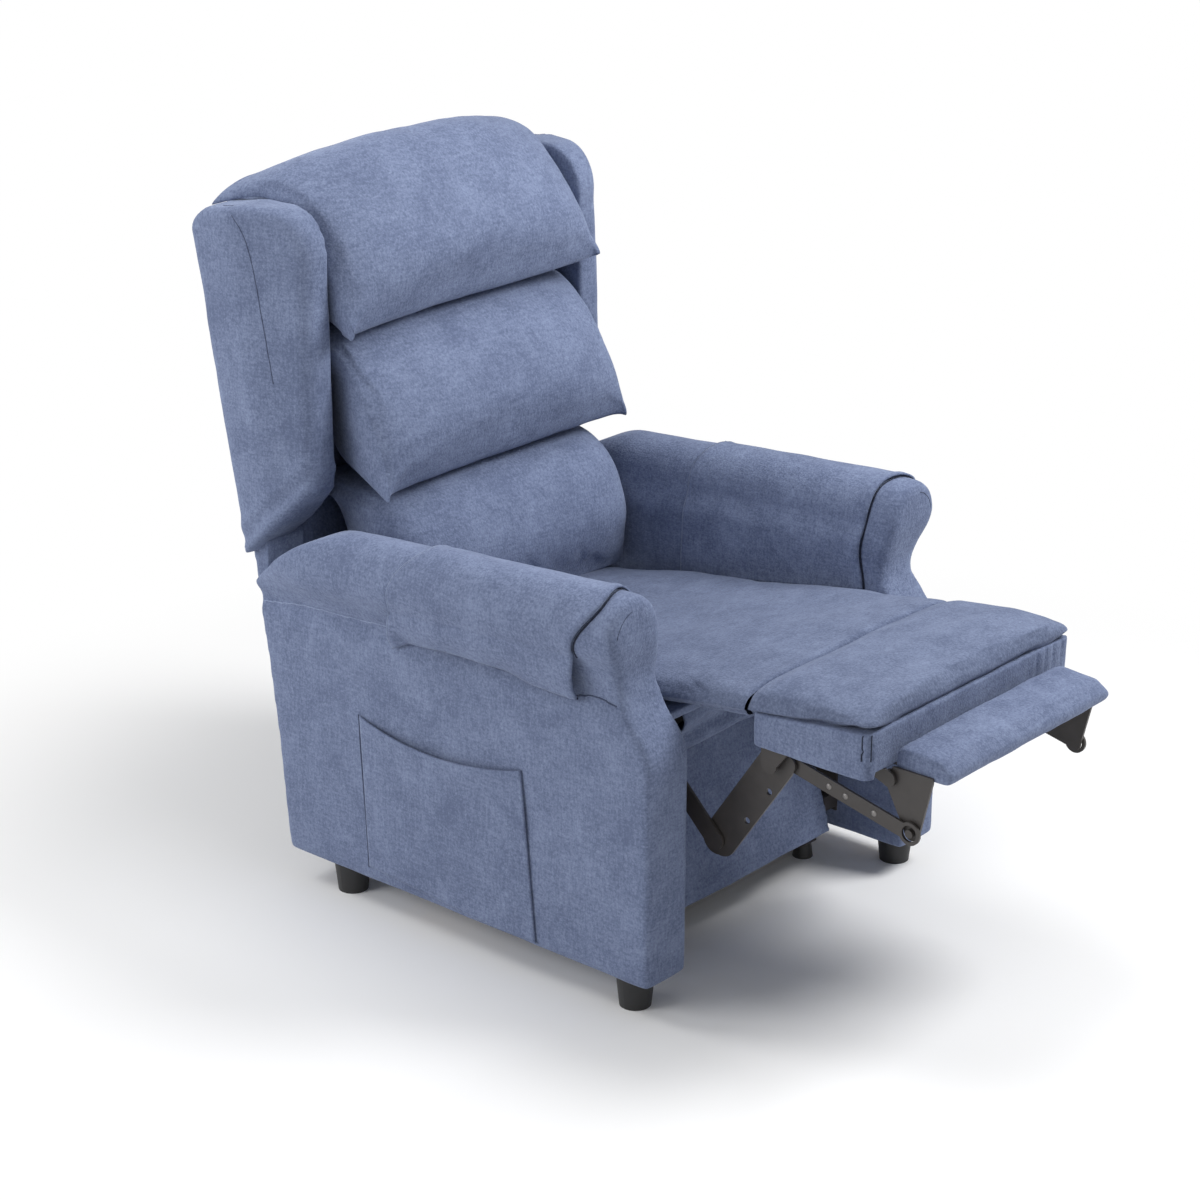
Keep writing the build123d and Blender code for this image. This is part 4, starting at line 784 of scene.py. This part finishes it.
kick = cover("front_panel_cover", ["front_panel"], 0.005, 4)
rumple(kick, (0.10, 0.0020), (0.04, 0.0008))
rail = cover("seat_front_cover", ["seat_front_board"], 0.004, 2)
for made, node in ((kick, "front_panel"), (rail, "seat_front_board")):
    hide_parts(node)
    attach(made, "chair")
fall = bmesh.new()
bmesh.ops.create_grid(fall, x_segments=60, y_segments=56, size=1.0)
for v in fall.verts:
    x, up = v.co.x * GUSSET_HALF, (v.co.y + 1) / 2
    y, z = smooth_line(GUSSET_FALL, up)
    slant = up * 15 - x / 55 + 1.2 * noise.noise(Vector((x / 110, up * 2, 5.5)))
    v.co = at(x, y - GUSSET_FOLD * math.sin(slant) * math.sin(math.pi * up) ** 0.5, z)
gusset = piece("front_gusset_cloth", fall, cloth)
thicken(gusset, LOOSE_CLOTH)
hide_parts("front_gusset")
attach(gusset, "chair")

# Side pocket
# A flat pocket sewn to the outer side of the sitter's right arm, open at the top, where its hem sags.
# It is one layer of the same cloth; along its rear edge a dark cord paints the shade of the seam.
TOP_FRONT, TOP_REAR = (-129, 321), (193, 316)
LOW_FRONT, LOW_REAR = (-155, 50), (181, 74)
POCKET_FACE, POCKET_LOW = 350.4, 58
POCKET_SAG = 21

patch = bmesh.new()
bmesh.ops.create_grid(patch, x_segments=90, y_segments=72, size=1.0)
for v in patch.verts:
    across, up = (v.co.x + 1) / 2, (v.co.y + 1) / 2
    y, z = ((tf + (tr - tf) * across) * up + (lf + (lr - lf) * across) * (1 - up)
            for tf, tr, lf, lr in zip(TOP_FRONT, TOP_REAR, LOW_FRONT, LOW_REAR))
    belly = math.sin(math.pi * across) ** 0.8
    z -= POCKET_SAG * belly * up ** 3
    out = 2.0 + belly * (2.2 * (1 - (1 - up) ** 4) + 6.5 * up ** 6)
    out += 1.0 * noise.noise(Vector((y / 55, z / 55, 2.2))) * belly
    v.co = at(-POCKET_FACE - out, y, max(z, POCKET_LOW))
pocket = piece("side_pocket_cloth", patch, cloth)
thicken(pocket, LOOSE_CLOTH)
rear_seam = dense([at(-352, TOP_REAR[0] + 4.5, TOP_REAR[1]), at(-352, LOW_REAR[0] + 4.5, LOW_REAR[1] - 4)])
painted_cord("side_pocket_seam", arms["right"], rear_seam, "chair", 0.0012, groove_shade_cord)
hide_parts("side_pocket")
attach(pocket, "chair")


# Steelwork
# Links, plates, rails and brackets are pressed from steel strip and painted a dark brown-black. Push
# rods are bare drawn steel, motors and glides black mouldings, and the inner frame is plain plywood.
def painted(name, colour, roughness, metal=0.0):
    """A hard surface with a faint film and grain in it."""
    paint = bpy.data.materials.new(name)
    paint.use_nodes = True
    tree = paint.node_tree
    skin = tree.nodes["Principled BSDF"]
    place = shader(tree, "ShaderNodeTexCoord").outputs["Object"]
    film = shader(tree, "ShaderNodeTexNoise", Vector=place, Scale=60.0, Detail=4.0)
    peel = shader(tree, "ShaderNodeTexNoise", Vector=place, Scale=600.0, Detail=2.0)
    low = tuple(c * 0.75 for c in colour) + (1,)
    high = tuple(min(1.0, c * 1.3) for c in colour) + (1,)
    shade = shader(tree, "ShaderNodeMix", {"data_type": "RGBA"}, i0=film.outputs["Fac"], i6=low, i7=high)
    tree.links.new(shade.outputs[2], skin.inputs["Base Color"])
    gloss = shader(tree, "ShaderNodeMapRange", Value=film.outputs["Fac"],
                   To_Min=roughness - 0.08, To_Max=roughness + 0.1)
    tree.links.new(gloss.outputs[0], skin.inputs["Roughness"])
    relief = shader(tree, "ShaderNodeBump", Strength=0.12, Distance=0.0004, Height=peel.outputs["Fac"])
    tree.links.new(relief.outputs[0], skin.inputs["Normal"])
    skin.inputs["Metallic"].default_value = metal
    return paint


steel = painted("dark_painted_steel", (0.045, 0.040, 0.038), 0.42)
rivet_steel = painted("rivet_steel", (0.20, 0.19, 0.185), 0.38, 0.5)
rod_steel = painted("drawn_rod", (0.55, 0.55, 0.56), 0.3, 1.0)
plastic = painted("black_moulding", (0.016, 0.016, 0.017), 0.5)
timber = painted("plain_plywood", (0.42, 0.30, 0.18), 0.65)
web = painted("support_cloth", (0.05, 0.05, 0.055), 0.85)
finish_of = {"dark_steel": steel, "bright_steel": rod_steel, "black_plastic": plastic,
             "frame_wood": timber, "webbing": web, "upholstery": cloth}
for part in frame["record"]["subparts"]:
    node = nodes[part["node"]]
    node.data.materials.clear()
    node.data.materials.append(finish_of[part["material_slot"]])

# Rivet heads
# Domed heads close the rivets that hold the halves of each footrest link together. They are of paler
# steel than the links and stand on the links' outer faces.
LINK_REAR, LINK_RUN = (-494, 388), (-198, -45)
RIVET_RADIUS = 0.0046

for hand, side in (("right", -1), ("left", 1)):
    face = max(abs(v.co.x) for v in nodes["flipper_links"].data.vertices)
    heads = bmesh.new()
    for share in (0.33, 0.47, 0.71):
        y, z = (start + run * share for start, run in zip(LINK_REAR, LINK_RUN))
        dome = bmesh.ops.create_uvsphere(heads, u_segments=20, v_segments=12, radius=RIVET_RADIUS)
        for v in dome["verts"]:
            v.co = at(0, y, z) + Vector((side * face + v.co.x * 0.45, v.co.y, v.co.z))
    rivets = piece("flipper_link_rivets_" + hand, heads, rivet_steel)
    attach(rivets, "flipper_link")
